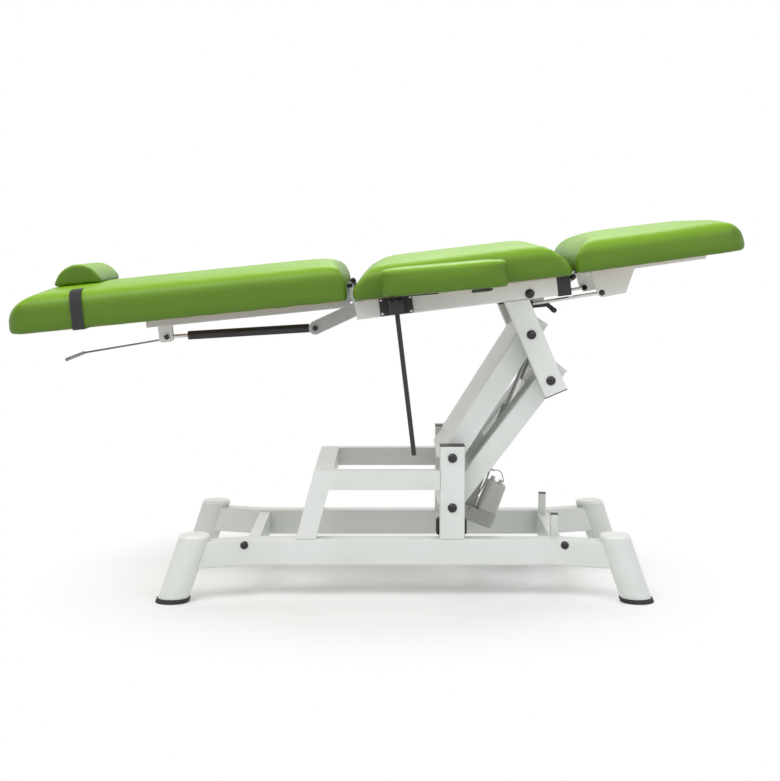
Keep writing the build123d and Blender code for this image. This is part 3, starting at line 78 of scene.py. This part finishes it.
def laid_cable(name, route, diameter, colour):
    """A smooth round cable along the route."""
    line = bpy.data.curves.new(name, "CURVE")
    line.dimensions = "3D"
    spline = line.splines.new("NURBS")
    spline.points.add(len(route) - 1)
    for point, place in zip(spline.points, route):
        point.co = (*place, 1)
    spline.order_u = 3
    spline.use_endpoint_u = True
    spline.resolution_u = 12
    cable = bpy.data.objects.new(name, line)
    bpy.context.scene.collection.objects.link(cable)
    bpy.context.view_layer.update()
    middle = bpy.data.meshes.new_from_object(cable)
    bpy.data.meshes.remove(middle)
    line.bevel_depth = diameter / 2
    line.bevel_resolution = 4
    material, sheath_nodes, sheath_links = new_material(f"{name}_sheath")
    shader = sheath_nodes["Principled BSDF"]
    coords = sheath_nodes.new("ShaderNodeTexCoord")
    dust = sheath_nodes.new("ShaderNodeTexNoise")
    dust.inputs["Scale"].default_value = 60.0
    sheath_links.new(coords.outputs["Object"], dust.inputs["Vector"])
    tone = sheath_nodes.new("ShaderNodeValToRGB")
    tone.color_ramp.elements[0].color = (*(c * WORN_TONE for c in colour), 1)
    tone.color_ramp.elements[1].color = (*colour, 1)
    sheath_links.new(dust.outputs["Fac"], tone.inputs["Fac"])
    sheath_links.new(tone.outputs["Color"], shader.inputs["Base Color"])
    shader.inputs["Roughness"].default_value = 0.42
    line.materials.append(material)
    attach(cable, "actuator_housing")


laid_cable("actuator_cable", CABLE_ROUTE, CABLE_DIA, CABLE_GREY)
laid_cable("actuator_lead", LEAD_ROUTE, LEAD_DIA, LEAD_GREY)


# Studio: a pale floor that runs out of sight, a white sky and three soft lamps high over the chair. The
# camera sees the floor turn white between SHADOW_NEAR and SHADOW_FAR from the chair's middle.
FLOOR_SIZE = 60.0
FLOOR_WHITE = 0.93
SKY_LIGHT = 0.72
SHADOW_NEAR = 0.55
SHADOW_FAR = 0.95
LAMP_AIM = (0, 0, 0.6)
LAMPS = (("key", (-1.2, -2.2, 3.4), 2.2, 46),
         ("fill", (2.2, -2.6, 2.4), 2.2, 20),
         ("back", (0.3, 2.4, 3.4), 2.4, 34))


def show_white(material_tree, surface, target):
    """White to the camera and in gloss and glass, and the given shader to every other ray."""
    tree_nodes, links = material_tree.nodes, material_tree.links
    path = tree_nodes.new("ShaderNodeLightPath")
    either = tree_nodes.new("ShaderNodeMath")
    either.operation = "MAXIMUM"
    links.new(path.outputs["Is Camera Ray"], either.inputs[0])
    links.new(path.outputs["Is Glossy Ray"], either.inputs[1])
    any_of = tree_nodes.new("ShaderNodeMath")
    any_of.operation = "MAXIMUM"
    links.new(either.outputs[0], any_of.inputs[0])
    links.new(path.outputs["Is Transmission Ray"], any_of.inputs[1])
    white = tree_nodes.new("ShaderNodeBackground")
    white.inputs["Strength"].default_value = 1.0
    white.inputs["Color"].default_value = (1, 1, 1, 1)
    mix = tree_nodes.new("ShaderNodeMixShader")
    links.new(any_of.outputs[0], mix.inputs[0])
    links.new(surface, mix.inputs[1])
    links.new(white.outputs[0], mix.inputs[2])
    links.new(mix.outputs[0], target)


world = bpy.data.worlds.new("studio")
bpy.context.scene.world = world
world.use_nodes = True
sky = world.node_tree.nodes["Background"]
sky.inputs["Color"].default_value = (1, 1, 1, 1)
sky.inputs["Strength"].default_value = SKY_LIGHT
show_white(world.node_tree, sky.outputs[0], world.node_tree.nodes["World Output"].inputs["Surface"])

floor_mesh = bpy.data.meshes.new("floor")
half_floor = FLOOR_SIZE / 2
floor_corners = [(x * half_floor, y * half_floor, 0) for x, y in ((-1, -1), (1, -1), (1, 1), (-1, 1))]
floor_mesh.from_pydata(floor_corners, [], [(0, 1, 2, 3)])
floor = bpy.data.objects.new("floor", floor_mesh)
bpy.context.scene.collection.objects.link(floor)
floor_material, floor_nodes, floor_links = new_material("pale_floor")
floor_shader = floor_nodes["Principled BSDF"]
floor_shader.inputs["Base Color"].default_value = (FLOOR_WHITE, FLOOR_WHITE, FLOOR_WHITE, 1)
floor_shader.inputs["Roughness"].default_value = 0.9
floor_shader.inputs["Specular IOR Level"].default_value = 0.1
floor_out = floor_nodes["Material Output"].inputs["Surface"]
near_path = floor_nodes.new("ShaderNodeLightPath")
plain_white = floor_nodes.new("ShaderNodeEmission")
plain_white.inputs["Color"].default_value = (1, 1, 1, 1)
floor_place = floor_nodes.new("ShaderNodeTexCoord")
floor_reach = floor_nodes.new("ShaderNodeVectorMath")
floor_reach.operation = "LENGTH"
floor_links.new(floor_place.outputs["Object"], floor_reach.inputs[0])
floor_fade = floor_nodes.new("ShaderNodeMapRange")
floor_fade.inputs["From Min"].default_value = SHADOW_NEAR
floor_fade.inputs["From Max"].default_value = SHADOW_FAR
floor_links.new(floor_reach.outputs["Value"], floor_fade.inputs["Value"])
floor_seen = floor_nodes.new("ShaderNodeMath")
floor_seen.operation = "MULTIPLY"
floor_links.new(floor_fade.outputs["Result"], floor_seen.inputs[0])
floor_links.new(near_path.outputs["Is Camera Ray"], floor_seen.inputs[1])
floor_mix = floor_nodes.new("ShaderNodeMixShader")
floor_links.new(floor_seen.outputs[0], floor_mix.inputs[0])
floor_links.new(floor_shader.outputs[0], floor_mix.inputs[1])
floor_links.new(plain_white.outputs[0], floor_mix.inputs[2])
floor_links.new(floor_mix.outputs[0], floor_out)
floor_mesh.materials.append(floor_material)

for lamp_name, place, size, power in LAMPS:
    lamp = bpy.data.objects.new(lamp_name, bpy.data.lights.new(lamp_name, "AREA"))
    bpy.context.scene.collection.objects.link(lamp)
    lamp.data.shape = "DISK"
    lamp.data.size = size
    lamp.data.energy = power
    lamp.location = place
    aim = Vector(LAMP_AIM) - Vector(place)
    lamp.rotation_euler = aim.to_track_quat("-Z", "Y").to_euler()
bpy.context.scene.view_settings.view_transform = "Standard"


# Base frame: four leaning leg tubes, two bent beams of box section and their cross tubes, welded and coated
# in white epoxy powder. The coat lies a little uneven, rounds every edge and carries faint grime.
PAINT_WHITE = (0.7, 0.725, 0.7)
PAINT_SHADE = (0.655, 0.685, 0.655)
EDGE_ROUND = 0.0014
CLOUD_SCALE = 7.0
PEEL_STRENGTH = 0.12
PEEL_DEPTH = 0.0006


def object_noise(tree_nodes, links, scale, detail=3.0):
    """Cloudy noise in the piece's own coordinates."""
    coords = tree_nodes.new("ShaderNodeTexCoord")
    cloud = tree_nodes.new("ShaderNodeTexNoise")
    cloud.inputs["Scale"].default_value = scale
    cloud.inputs["Detail"].default_value = detail
    cloud.inputs["Roughness"].default_value = 0.5
    links.new(coords.outputs["Object"], cloud.inputs["Vector"])
    return cloud


def colour_between(tree_nodes, links, factor, low, high, dark, light):
    """A colour that runs from dark to light as factor goes from low to high."""
    ramp = tree_nodes.new("ShaderNodeValToRGB")
    ramp.color_ramp.elements[0].position = low
    ramp.color_ramp.elements[1].position = high
    ramp.color_ramp.elements[0].color = (*dark, 1)
    ramp.color_ramp.elements[1].color = (*light, 1)
    links.new(factor, ramp.inputs["Fac"])
    return ramp.outputs["Color"]


def value_between(tree_nodes, links, factor, low, high):
    span = tree_nodes.new("ShaderNodeMapRange")
    span.inputs["To Min"].default_value = low
    span.inputs["To Max"].default_value = high
    links.new(factor, span.inputs["Value"])
    return span.outputs["Result"]


def bumped(tree_nodes, links, height, strength, distance, shader, round_edges=0.0):
    bump = tree_nodes.new("ShaderNodeBump")
    bump.inputs["Strength"].default_value = strength
    bump.inputs["Distance"].default_value = distance
    links.new(height, bump.inputs["Height"])
    if round_edges:
        bevel = tree_nodes.new("ShaderNodeBevel")
        bevel.samples = 6
        bevel.inputs["Radius"].default_value = round_edges
        links.new(bevel.outputs["Normal"], bump.inputs["Normal"])
    links.new(bump.outputs["Normal"], shader.inputs["Normal"])


def coated_metal(name, light, dark, gloss_low, gloss_high, grain=420.0, metal=0.0):
    """A coat or skin whose tone and gloss drift across the piece, over a fine grain with rounded edges."""
    material, tree_nodes, links = new_material(name)
    shader = tree_nodes["Principled BSDF"]
    cloud = object_noise(tree_nodes, links, CLOUD_SCALE, 5.0)
    links.new(colour_between(tree_nodes, links, cloud.outputs["Fac"], 0.35, 0.65, dark, light),
              shader.inputs["Base Color"])
    links.new(value_between(tree_nodes, links, cloud.outputs["Fac"], gloss_low, gloss_high),
              shader.inputs["Roughness"])
    shader.inputs["Metallic"].default_value = metal
    peel = object_noise(tree_nodes, links, grain, 2.0)
    bumped(tree_nodes, links, peel.outputs["Fac"], PEEL_STRENGTH, PEEL_DEPTH, shader, EDGE_ROUND)
    return material


white_paint = coated_metal("white_paint", PAINT_WHITE, PAINT_SHADE, 0.26, 0.4)


def finish(material, *names):
    """The material on the whole of each named node."""
    for node_name in names:
        node_mesh = nodes[node_name].data
        node_mesh.materials.clear()
        node_mesh.materials.append(material)


finish(white_paint, "leg_tubes", "side_beams", "base_cross_tubes", "actuator_clevis")


# Posts, brace frames and arm stops: box section and flat bar welded onto the beams, in the same white. The
# lift arms turn on the posts, and the stops catch them when the couch is down.
finish(white_paint, "posts", "brace_frames", "stop_posts")


# Leg caps: pressed white plastic discs that close the slanting leg tubes, a shade lighter than the paint.
white_plastic = coated_metal("white_plastic", (0.83, 0.84, 0.82), (0.8, 0.81, 0.79), 0.3, 0.42,
                             grain=900.0)
finish(white_plastic, "leg_top_caps")


# Feet: moulded black rubber cups pushed onto the leg ends, dull and a little dusty.
black_rubber = coated_metal("black_rubber", (0.028, 0.028, 0.03), (0.014, 0.014, 0.015), 0.62, 0.82,
                            grain=700.0)
finish(black_rubber, "foot_pads")


# Plugs, control box and armrest fittings: black plastic moulded with a fine spark-eroded grain, pushed into
# the tube ends or screwed onto the frame.
black_plastic = coated_metal("black_plastic", (0.022, 0.022, 0.024), (0.012, 0.012, 0.013), 0.38, 0.55,
                             grain=1500.0)
finish(black_plastic, "base_tube_caps", "seat_frame_caps", "control_box")
finish(black_plastic, "armrest_clamps", "near_armrest_plate", "far_armrest_plate")


# Bolts and pins: hexagon bolts through the beams, posts, arms and hinges, under glossy push-on domes.
black_gloss = coated_metal("black_gloss", (0.016, 0.016, 0.017), (0.01, 0.01, 0.011), 0.16, 0.26,
                           grain=900.0)
finish(black_gloss, "beam_bolts", "base_pivot_bolts", "link_bolts", "hinge_pins")


# Lift arms: two wide channels folded from steel sheet and the bracket for the actuator, painted like the
# base. The links hang from the seat frame, and both arms turn on them.
finish(white_paint, "upper_arm", "lower_arm", "actuator_top_bracket", "links")


# Seat and leg frames: welded box section under the boards, with the hinge ears and the lever's bracket.
finish(white_paint, "seat_side_tubes", "seat_cross_tubes", "hinge_ears", "leg_lever_bracket", "leg_frame")


# Lifting actuator: light grey moulded gear case and motor cover, and a grey tube round the screw. The cover
# is paler than the case, with a seam between them.
grey_plastic = coated_metal("grey_plastic", (0.42, 0.43, 0.4), (0.36, 0.37, 0.345), 0.34, 0.5,
                            grain=1300.0)
finish(grey_plastic, "actuator_gear_case", "actuator_tube")
cover_plastic = coated_metal("cover_plastic", (0.52, 0.54, 0.5), (0.47, 0.485, 0.45), 0.34, 0.48,
                             grain=1300.0)
finish(cover_plastic, "actuator_motor_cover")


# Bright steel: the screw rod of the actuator, the rod of the gas spring and the screws of the clamps.
bright_steel = coated_metal("bright_steel", (0.66, 0.66, 0.65), (0.55, 0.55, 0.54), 0.16, 0.3,
                            grain=260.0, metal=1.0)
finish(bright_steel, "actuator_rod", "clamp_screws", "back_spring_rod")


# Gussets, strut rods and back bracket: painted plates and bright rods. Their bolts are part of these nodes,
# so the coat turns black within a cap's radius of each bolt line, as the domes over them are.
CAP_RADIUS = 0.0075
CAP_BLACK = (0.015, 0.015, 0.016)


def with_caps(material, name, spots):
    """A copy of the coat with black round caps on lines across the chair at the given (x, z)."""
    capped = material.copy()
    capped.name = name
    tree_nodes, links = capped.node_tree.nodes, capped.node_tree.links
    shader = tree_nodes["Principled BSDF"]
    place = tree_nodes.new("ShaderNodeTexCoord")
    flat = tree_nodes.new("ShaderNodeVectorMath")
    flat.operation = "MULTIPLY"
    flat.inputs[1].default_value = (1, 0, 1)
    links.new(place.outputs["Object"], flat.inputs[0])
    colour = shader.inputs["Base Color"].links[0].from_socket
    for x, z in spots:
        reach = tree_nodes.new("ShaderNodeVectorMath")
        reach.operation = "DISTANCE"
        reach.inputs[1].default_value = (x, 0, z)
        links.new(flat.outputs["Vector"], reach.inputs[0])
        inside = tree_nodes.new("ShaderNodeMath")
        inside.operation = "LESS_THAN"
        inside.inputs[1].default_value = CAP_RADIUS
        links.new(reach.outputs["Value"], inside.inputs[0])
        blend = tree_nodes.new("ShaderNodeMix")
        blend.data_type = "RGBA"
        links.new(inside.outputs[0], blend.inputs[0])
        links.new(colour, blend.inputs[6])
        blend.inputs[7].default_value = (*CAP_BLACK, 1)
        colour = blend.outputs[2]
    links.new(colour, shader.inputs["Base Color"])
    return capped


STRUT_BOLT = (0.5897, 0.7991)
BACK_BOLT = (-0.5733, 0.6714)
FORK_BOLT = (-0.1678, 0.6959)
finish(with_caps(white_paint, "gusset_paint", (STRUT_BOLT,)), "leg_gussets")
finish(with_caps(bright_steel, "strut_steel", (STRUT_BOLT,)), "near_strut_rod", "far_strut_rod")
finish(with_caps(white_paint, "bracket_paint", (BACK_BOLT,)), "back_bracket")


# Back frame and gas spring fork: grey zinc-rich primer under a thin coat, so greyer than the base.
grey_paint = coated_metal("grey_paint", (0.5, 0.515, 0.5), (0.42, 0.435, 0.42), 0.36, 0.52)
finish(grey_paint, "back_frame")
finish(with_caps(grey_paint, "fork_paint", (FORK_BOLT,)), "spring_fork")


# Gas spring, armrest rods, strut sleeves, clamp knobs and leg lever: black, stoved or moulded, satin.
black_steel = coated_metal("black_steel", (0.02, 0.02, 0.022), (0.012, 0.012, 0.013), 0.28, 0.42,
                           grain=600.0)
finish(black_steel, "back_spring_cylinder", "near_armrest_rod", "far_armrest_rod", "near_strut_sleeve",
       "far_strut_sleeve", "near_clamp_knob", "far_clamp_knob", "leg_lever")


# Back release lever: a bent steel wire with a thicker grip, zinc plated and dulled by hands.
lever_steel = coated_metal("lever_steel", (0.3, 0.3, 0.3), (0.16, 0.16, 0.16), 0.3, 0.42,
                           grain=500.0, metal=1.0)
finish(lever_steel, "back_release_lever")


# Boards: birch plywood panels screwed to the rails under each cushion. The grain runs along the couch.
PLY_DARK = (0.42, 0.27, 0.14)
PLY_LIGHT = (0.62, 0.45, 0.27)
plywood, plywood_nodes, plywood_links = new_material("plywood")
ply_shader = plywood_nodes["Principled BSDF"]
ply_coords = plywood_nodes.new("ShaderNodeTexCoord")
ply_map = plywood_nodes.new("ShaderNodeMapping")
ply_map.inputs["Scale"].default_value = (3, 60, 60)
ply_grain = plywood_nodes.new("ShaderNodeTexNoise")
ply_grain.inputs["Scale"].default_value = 4.0
ply_grain.inputs["Detail"].default_value = 6.0
plywood_links.new(ply_coords.outputs["Object"], ply_map.inputs["Vector"])
plywood_links.new(ply_map.outputs["Vector"], ply_grain.inputs["Vector"])
ply_colour = colour_between(plywood_nodes, plywood_links, ply_grain.outputs["Fac"], 0.3, 0.7,
                            PLY_DARK, PLY_LIGHT)
plywood_links.new(ply_colour, ply_shader.inputs["Base Color"])
ply_shader.inputs["Roughness"].default_value = 0.62
bumped(plywood_nodes, plywood_links, ply_grain.outputs["Fac"], 0.2, 0.0004, ply_shader, EDGE_ROUND)
finish(plywood, "seat_board", "back_board", "leg_board")


# Upholstery: firm foam on a board under stretched lime vinyl with a fine leather grain. The skin is pulled
# down over the sides and stapled underneath, so each cushion swells between its edges. Its sides carry
# painted shade, a deeper green where the skin faces sideways or down. Cloth pressure finds the swelling,
# which is then held to SWELL_LIMIT and evened out.
VINYL_TOP = (0.235, 0.47, 0.004)
# The second green is painted shade, laid where the skin faces sideways or down.
VINYL_PAINTED_SHADE = (0.075, 0.16, 0.002)
VINYL_GRAIN = 850.0
FOAM_PRESSURE = 2.5
SWELL_START = 0.003
SWELL_LIMIT = 0.0045
SWELL_EASE = 0.02
SKIN_FRAMES = 20
SKIN_ROUNDS = 24
RELAX_ROUNDS = 3
WELD_REACH = 0.00001
BOARD_HOLD = 0.006


def vinyl(name, top, side):
    material, tree_nodes, links = new_material(name)
    shader = tree_nodes["Principled BSDF"]
    # The side colour is painted shade. The base colour runs from top to side as the skin turns sideways or
    # down, following the side-shade mark on the mesh.
    painted_shade = tree_nodes.new("ShaderNodeAttribute")
    painted_shade.attribute_name = "painted_side_shade"
    cloud = object_noise(tree_nodes, links, 9.0, 4.0)
    wander = value_between(tree_nodes, links, cloud.outputs["Fac"], -0.07, 0.07)
    total = tree_nodes.new("ShaderNodeMath")
    links.new(painted_shade.outputs["Fac"], total.inputs[0])
    links.new(wander, total.inputs[1])
    links.new(colour_between(tree_nodes, links, total.outputs[0], 0.02, 0.98, top, side),
              shader.inputs["Base Color"])
    links.new(value_between(tree_nodes, links, cloud.outputs["Fac"], 0.36, 0.5),
              shader.inputs["Roughness"])
    shader.inputs["Specular IOR Level"].default_value = 0.42
    coords = tree_nodes.new("ShaderNodeTexCoord")
    pores = tree_nodes.new("ShaderNodeTexVoronoi")
    pores.feature = "SMOOTH_F1"
    pores.inputs["Scale"].default_value = VINYL_GRAIN
    links.new(coords.outputs["Object"], pores.inputs["Vector"])
    bumped(tree_nodes, links, pores.outputs["Distance"], 0.22, 0.0005, shader)
    return material


lime_vinyl = vinyl("lime_vinyl", VINYL_TOP, VINYL_PAINTED_SHADE)


def smooth_faces(mesh):
    mesh.polygons.foreach_set("use_smooth", [True] * len(mesh.polygons))
    mesh.update()


def apply_modifiers(piece):
    """The piece's modifiers turned into a plain mesh."""
    depsgraph = bpy.context.evaluated_depsgraph_get()
    mesh = bpy.data.meshes.new_from_object(piece.evaluated_get(depsgraph))
    piece.modifiers.clear()
    old = piece.data
    piece.data = mesh
    bpy.data.meshes.remove(old)


def remeshed_copy(name, node_name, voxel, rounds):
    """The node's solid as an even, softened net of small squares."""
    piece = bpy.data.objects.new(name, nodes[node_name].data.copy())
    bpy.context.scene.collection.objects.link(piece)
    net = bmesh.new()
    net.from_mesh(piece.data)
    bmesh.ops.remove_doubles(net, verts=net.verts, dist=WELD_REACH)
    net.to_mesh(piece.data)
    net.free()
    remesh = piece.modifiers.new("net", "REMESH")
    remesh.mode = "VOXEL"
    remesh.voxel_size = voxel
    soften = piece.modifiers.new("soften", "SMOOTH")
    soften.factor = 0.5
    soften.iterations = rounds
    apply_modifiers(piece)
    return piece


def swell(piece, up, depth, start=SWELL_START, limit=SWELL_LIMIT):
    """Pulls the skin in, then lets cloth pressure fill it, with the face on the board held still."""
    mesh = piece.data
    rest = [v.co.copy() for v in mesh.vertices]
    low = min(p.dot(up) for p in rest)
    held = piece.vertex_groups.new(name="held")
    for v in mesh.vertices:
        height = v.co.dot(up) - low
        if height < depth:
            held.add([v.index], 1.0, "REPLACE")
        else:
            v.co -= v.normal * start * min(1.0, (height - depth) / SWELL_EASE)
    cloth = piece.modifiers.new("skin", "CLOTH")
    cloth.settings.quality = 4
    cloth.settings.mass = 0.3
    cloth.settings.tension_stiffness = 12
    cloth.settings.compression_stiffness = 12
    cloth.settings.shear_stiffness = 6
    cloth.settings.bending_stiffness = 1.5
    cloth.settings.use_pressure = True
    cloth.settings.uniform_pressure_force = FOAM_PRESSURE
    cloth.settings.vertex_group_mass = "held"
    cloth.settings.effector_weights.gravity = 0
    cloth.point_cache.frame_start = 1
    cloth.point_cache.frame_end = SKIN_FRAMES
    for step in range(1, SKIN_FRAMES + 1):
        bpy.context.scene.frame_set(step)
    apply_modifiers(piece)
    bpy.context.scene.frame_set(1)
    piece.vertex_groups.clear()
    moves = np.array([v.co - home for v, home in zip(piece.data.vertices, rest)])
    reach = np.linalg.norm(moves, axis=1, keepdims=True)
    moves *= np.minimum(1.0, limit / np.maximum(reach, limit))
    ends = np.array([tuple(e.vertices) for e in piece.data.edges])
    count = 1 + np.bincount(ends.ravel(), minlength=len(moves))[:, None]
    for _ in range(SKIN_ROUNDS):
        total = moves.copy()
        np.add.at(total, ends[:, 0], moves[ends[:, 1]])
        np.add.at(total, ends[:, 1], moves[ends[:, 0]])
        moves = total / count
    for v, home, move in zip(piece.data.vertices, rest, moves):
        v.co = home + Vector(move)


def relax(piece):
    """Takes the squares out of the skin and divides it once."""
    soften = piece.modifiers.new("soften", "SMOOTH")
    soften.factor = 0.5
    soften.iterations = RELAX_ROUNDS
    refine = piece.modifiers.new("refine", "SUBSURF")
    refine.levels = 1
    refine.render_levels = 1
    apply_modifiers(piece)


def paint_side_shade(piece, up):
    """Marks how far each spot faces sideways or down, for the painted shade on the vinyl's sides and
    underside.
    """
    mesh = piece.data
    smooth_faces(mesh)
    painted_shade_mark = mesh.attributes.new("painted_side_shade", "FLOAT", "POINT")
    values = []
    for v in mesh.vertices:
        facing = max(-1.0, min(1.0, v.normal.dot(up)))
        values.append(max(0.0, min(1.0, (0.96 - facing) / 0.98)) ** 0.75)
    painted_shade_mark.data.foreach_set("value", values)


def dress(piece, body, node_name):
    """The vinyl on the piece, which rides its body in place of the CAD solid."""
    piece.data.materials.clear()
    piece.data.materials.append(lime_vinyl)
    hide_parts(node_name)
    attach(piece, body)


def joint_named(name):
    return next(j for j in frame["joints"] if j["name"] == name)


seat_up = Vector(joint_named("near_armrest_height")["axis"]).normalized()
back_along = Vector(joint_named("pillow_slide")["axis"]).normalized()
back_up = Vector((-back_along.z, 0, back_along.x))
# The leg section rises toward the feet by LEG_TILT at rest. Each row of CUSHIONS holds the piece's name, its
# CAD node, its body, the way up from its board, the size of its net in metres and how full it is.
LEG_TILT = radians(8.0)
leg_up = Vector((-sin(LEG_TILT), 0, cos(LEG_TILT)))
CUSHIONS = (("back_upholstery", "back_cushion", "back", back_up, 0.0085, 0.8),
            ("seat_upholstery", "seat_cushion", "seat", seat_up, 0.0075, 0.85),
            ("leg_upholstery", "leg_cushion", "leg_section", leg_up, 0.007, 0.85))
for piece_name, node_name, body, up, voxel, fill in CUSHIONS:
    upholstery = remeshed_copy(piece_name, node_name, voxel, 8)
    swell(upholstery, up, BOARD_HOLD)
    relax(upholstery)
    paint_side_shade(upholstery, up)
    dress(upholstery, body, node_name)


# Armrest pads: a foam block on a small board in the same vinyl, drawn tight over a smaller radius.
SMALL_NET = 0.005
SMALL_START = 0.002
SMALL_LIMIT = 0.003
for side in ("near", "far"):
    pad = remeshed_copy(f"{side}_armrest_upholstery", f"{side}_armrest_pad", SMALL_NET, 6)
    swell(pad, seat_up, 0.004, SMALL_START, SMALL_LIMIT)
    relax(pad)
    paint_side_shade(pad, seat_up)
    dress(pad, f"{side}_armrest", f"{side}_armrest_pad")


# Pillow: a half-round foam bolster in the same vinyl that lies across the head of the back cushion.
pillow = remeshed_copy("pillow_upholstery", "pillow", SMALL_NET, 5)
swell(pillow, back_up, 0.003, SMALL_START, SMALL_LIMIT)
relax(pillow)
paint_side_shade(pillow, back_up)
dress(pillow, "pillow", "pillow")


# Strap: woven black elastic with fine ribs, wrapped round the back cushion to hold the pillow.
STRAP_DARK = (0.01, 0.011, 0.012)
STRAP_LIGHT = (0.03, 0.033, 0.035)
strap_weave, strap_nodes, strap_links = new_material("strap_weave")
strap_shader = strap_nodes["Principled BSDF"]
strap_coords = strap_nodes.new("ShaderNodeTexCoord")
strap_ribs = strap_nodes.new("ShaderNodeTexWave")
strap_ribs.inputs["Scale"].default_value = 260.0
strap_links.new(strap_coords.outputs["Object"], strap_ribs.inputs["Vector"])
strap_colour = colour_between(strap_nodes, strap_links, strap_ribs.outputs["Fac"], 0.2, 0.8,
                              STRAP_DARK, STRAP_LIGHT)
strap_links.new(strap_colour, strap_shader.inputs["Base Color"])
strap_shader.inputs["Roughness"].default_value = 0.75
bumped(strap_nodes, strap_links, strap_ribs.outputs["Fac"], 0.5, 0.0004, strap_shader)
finish(strap_weave, "pillow_strap")
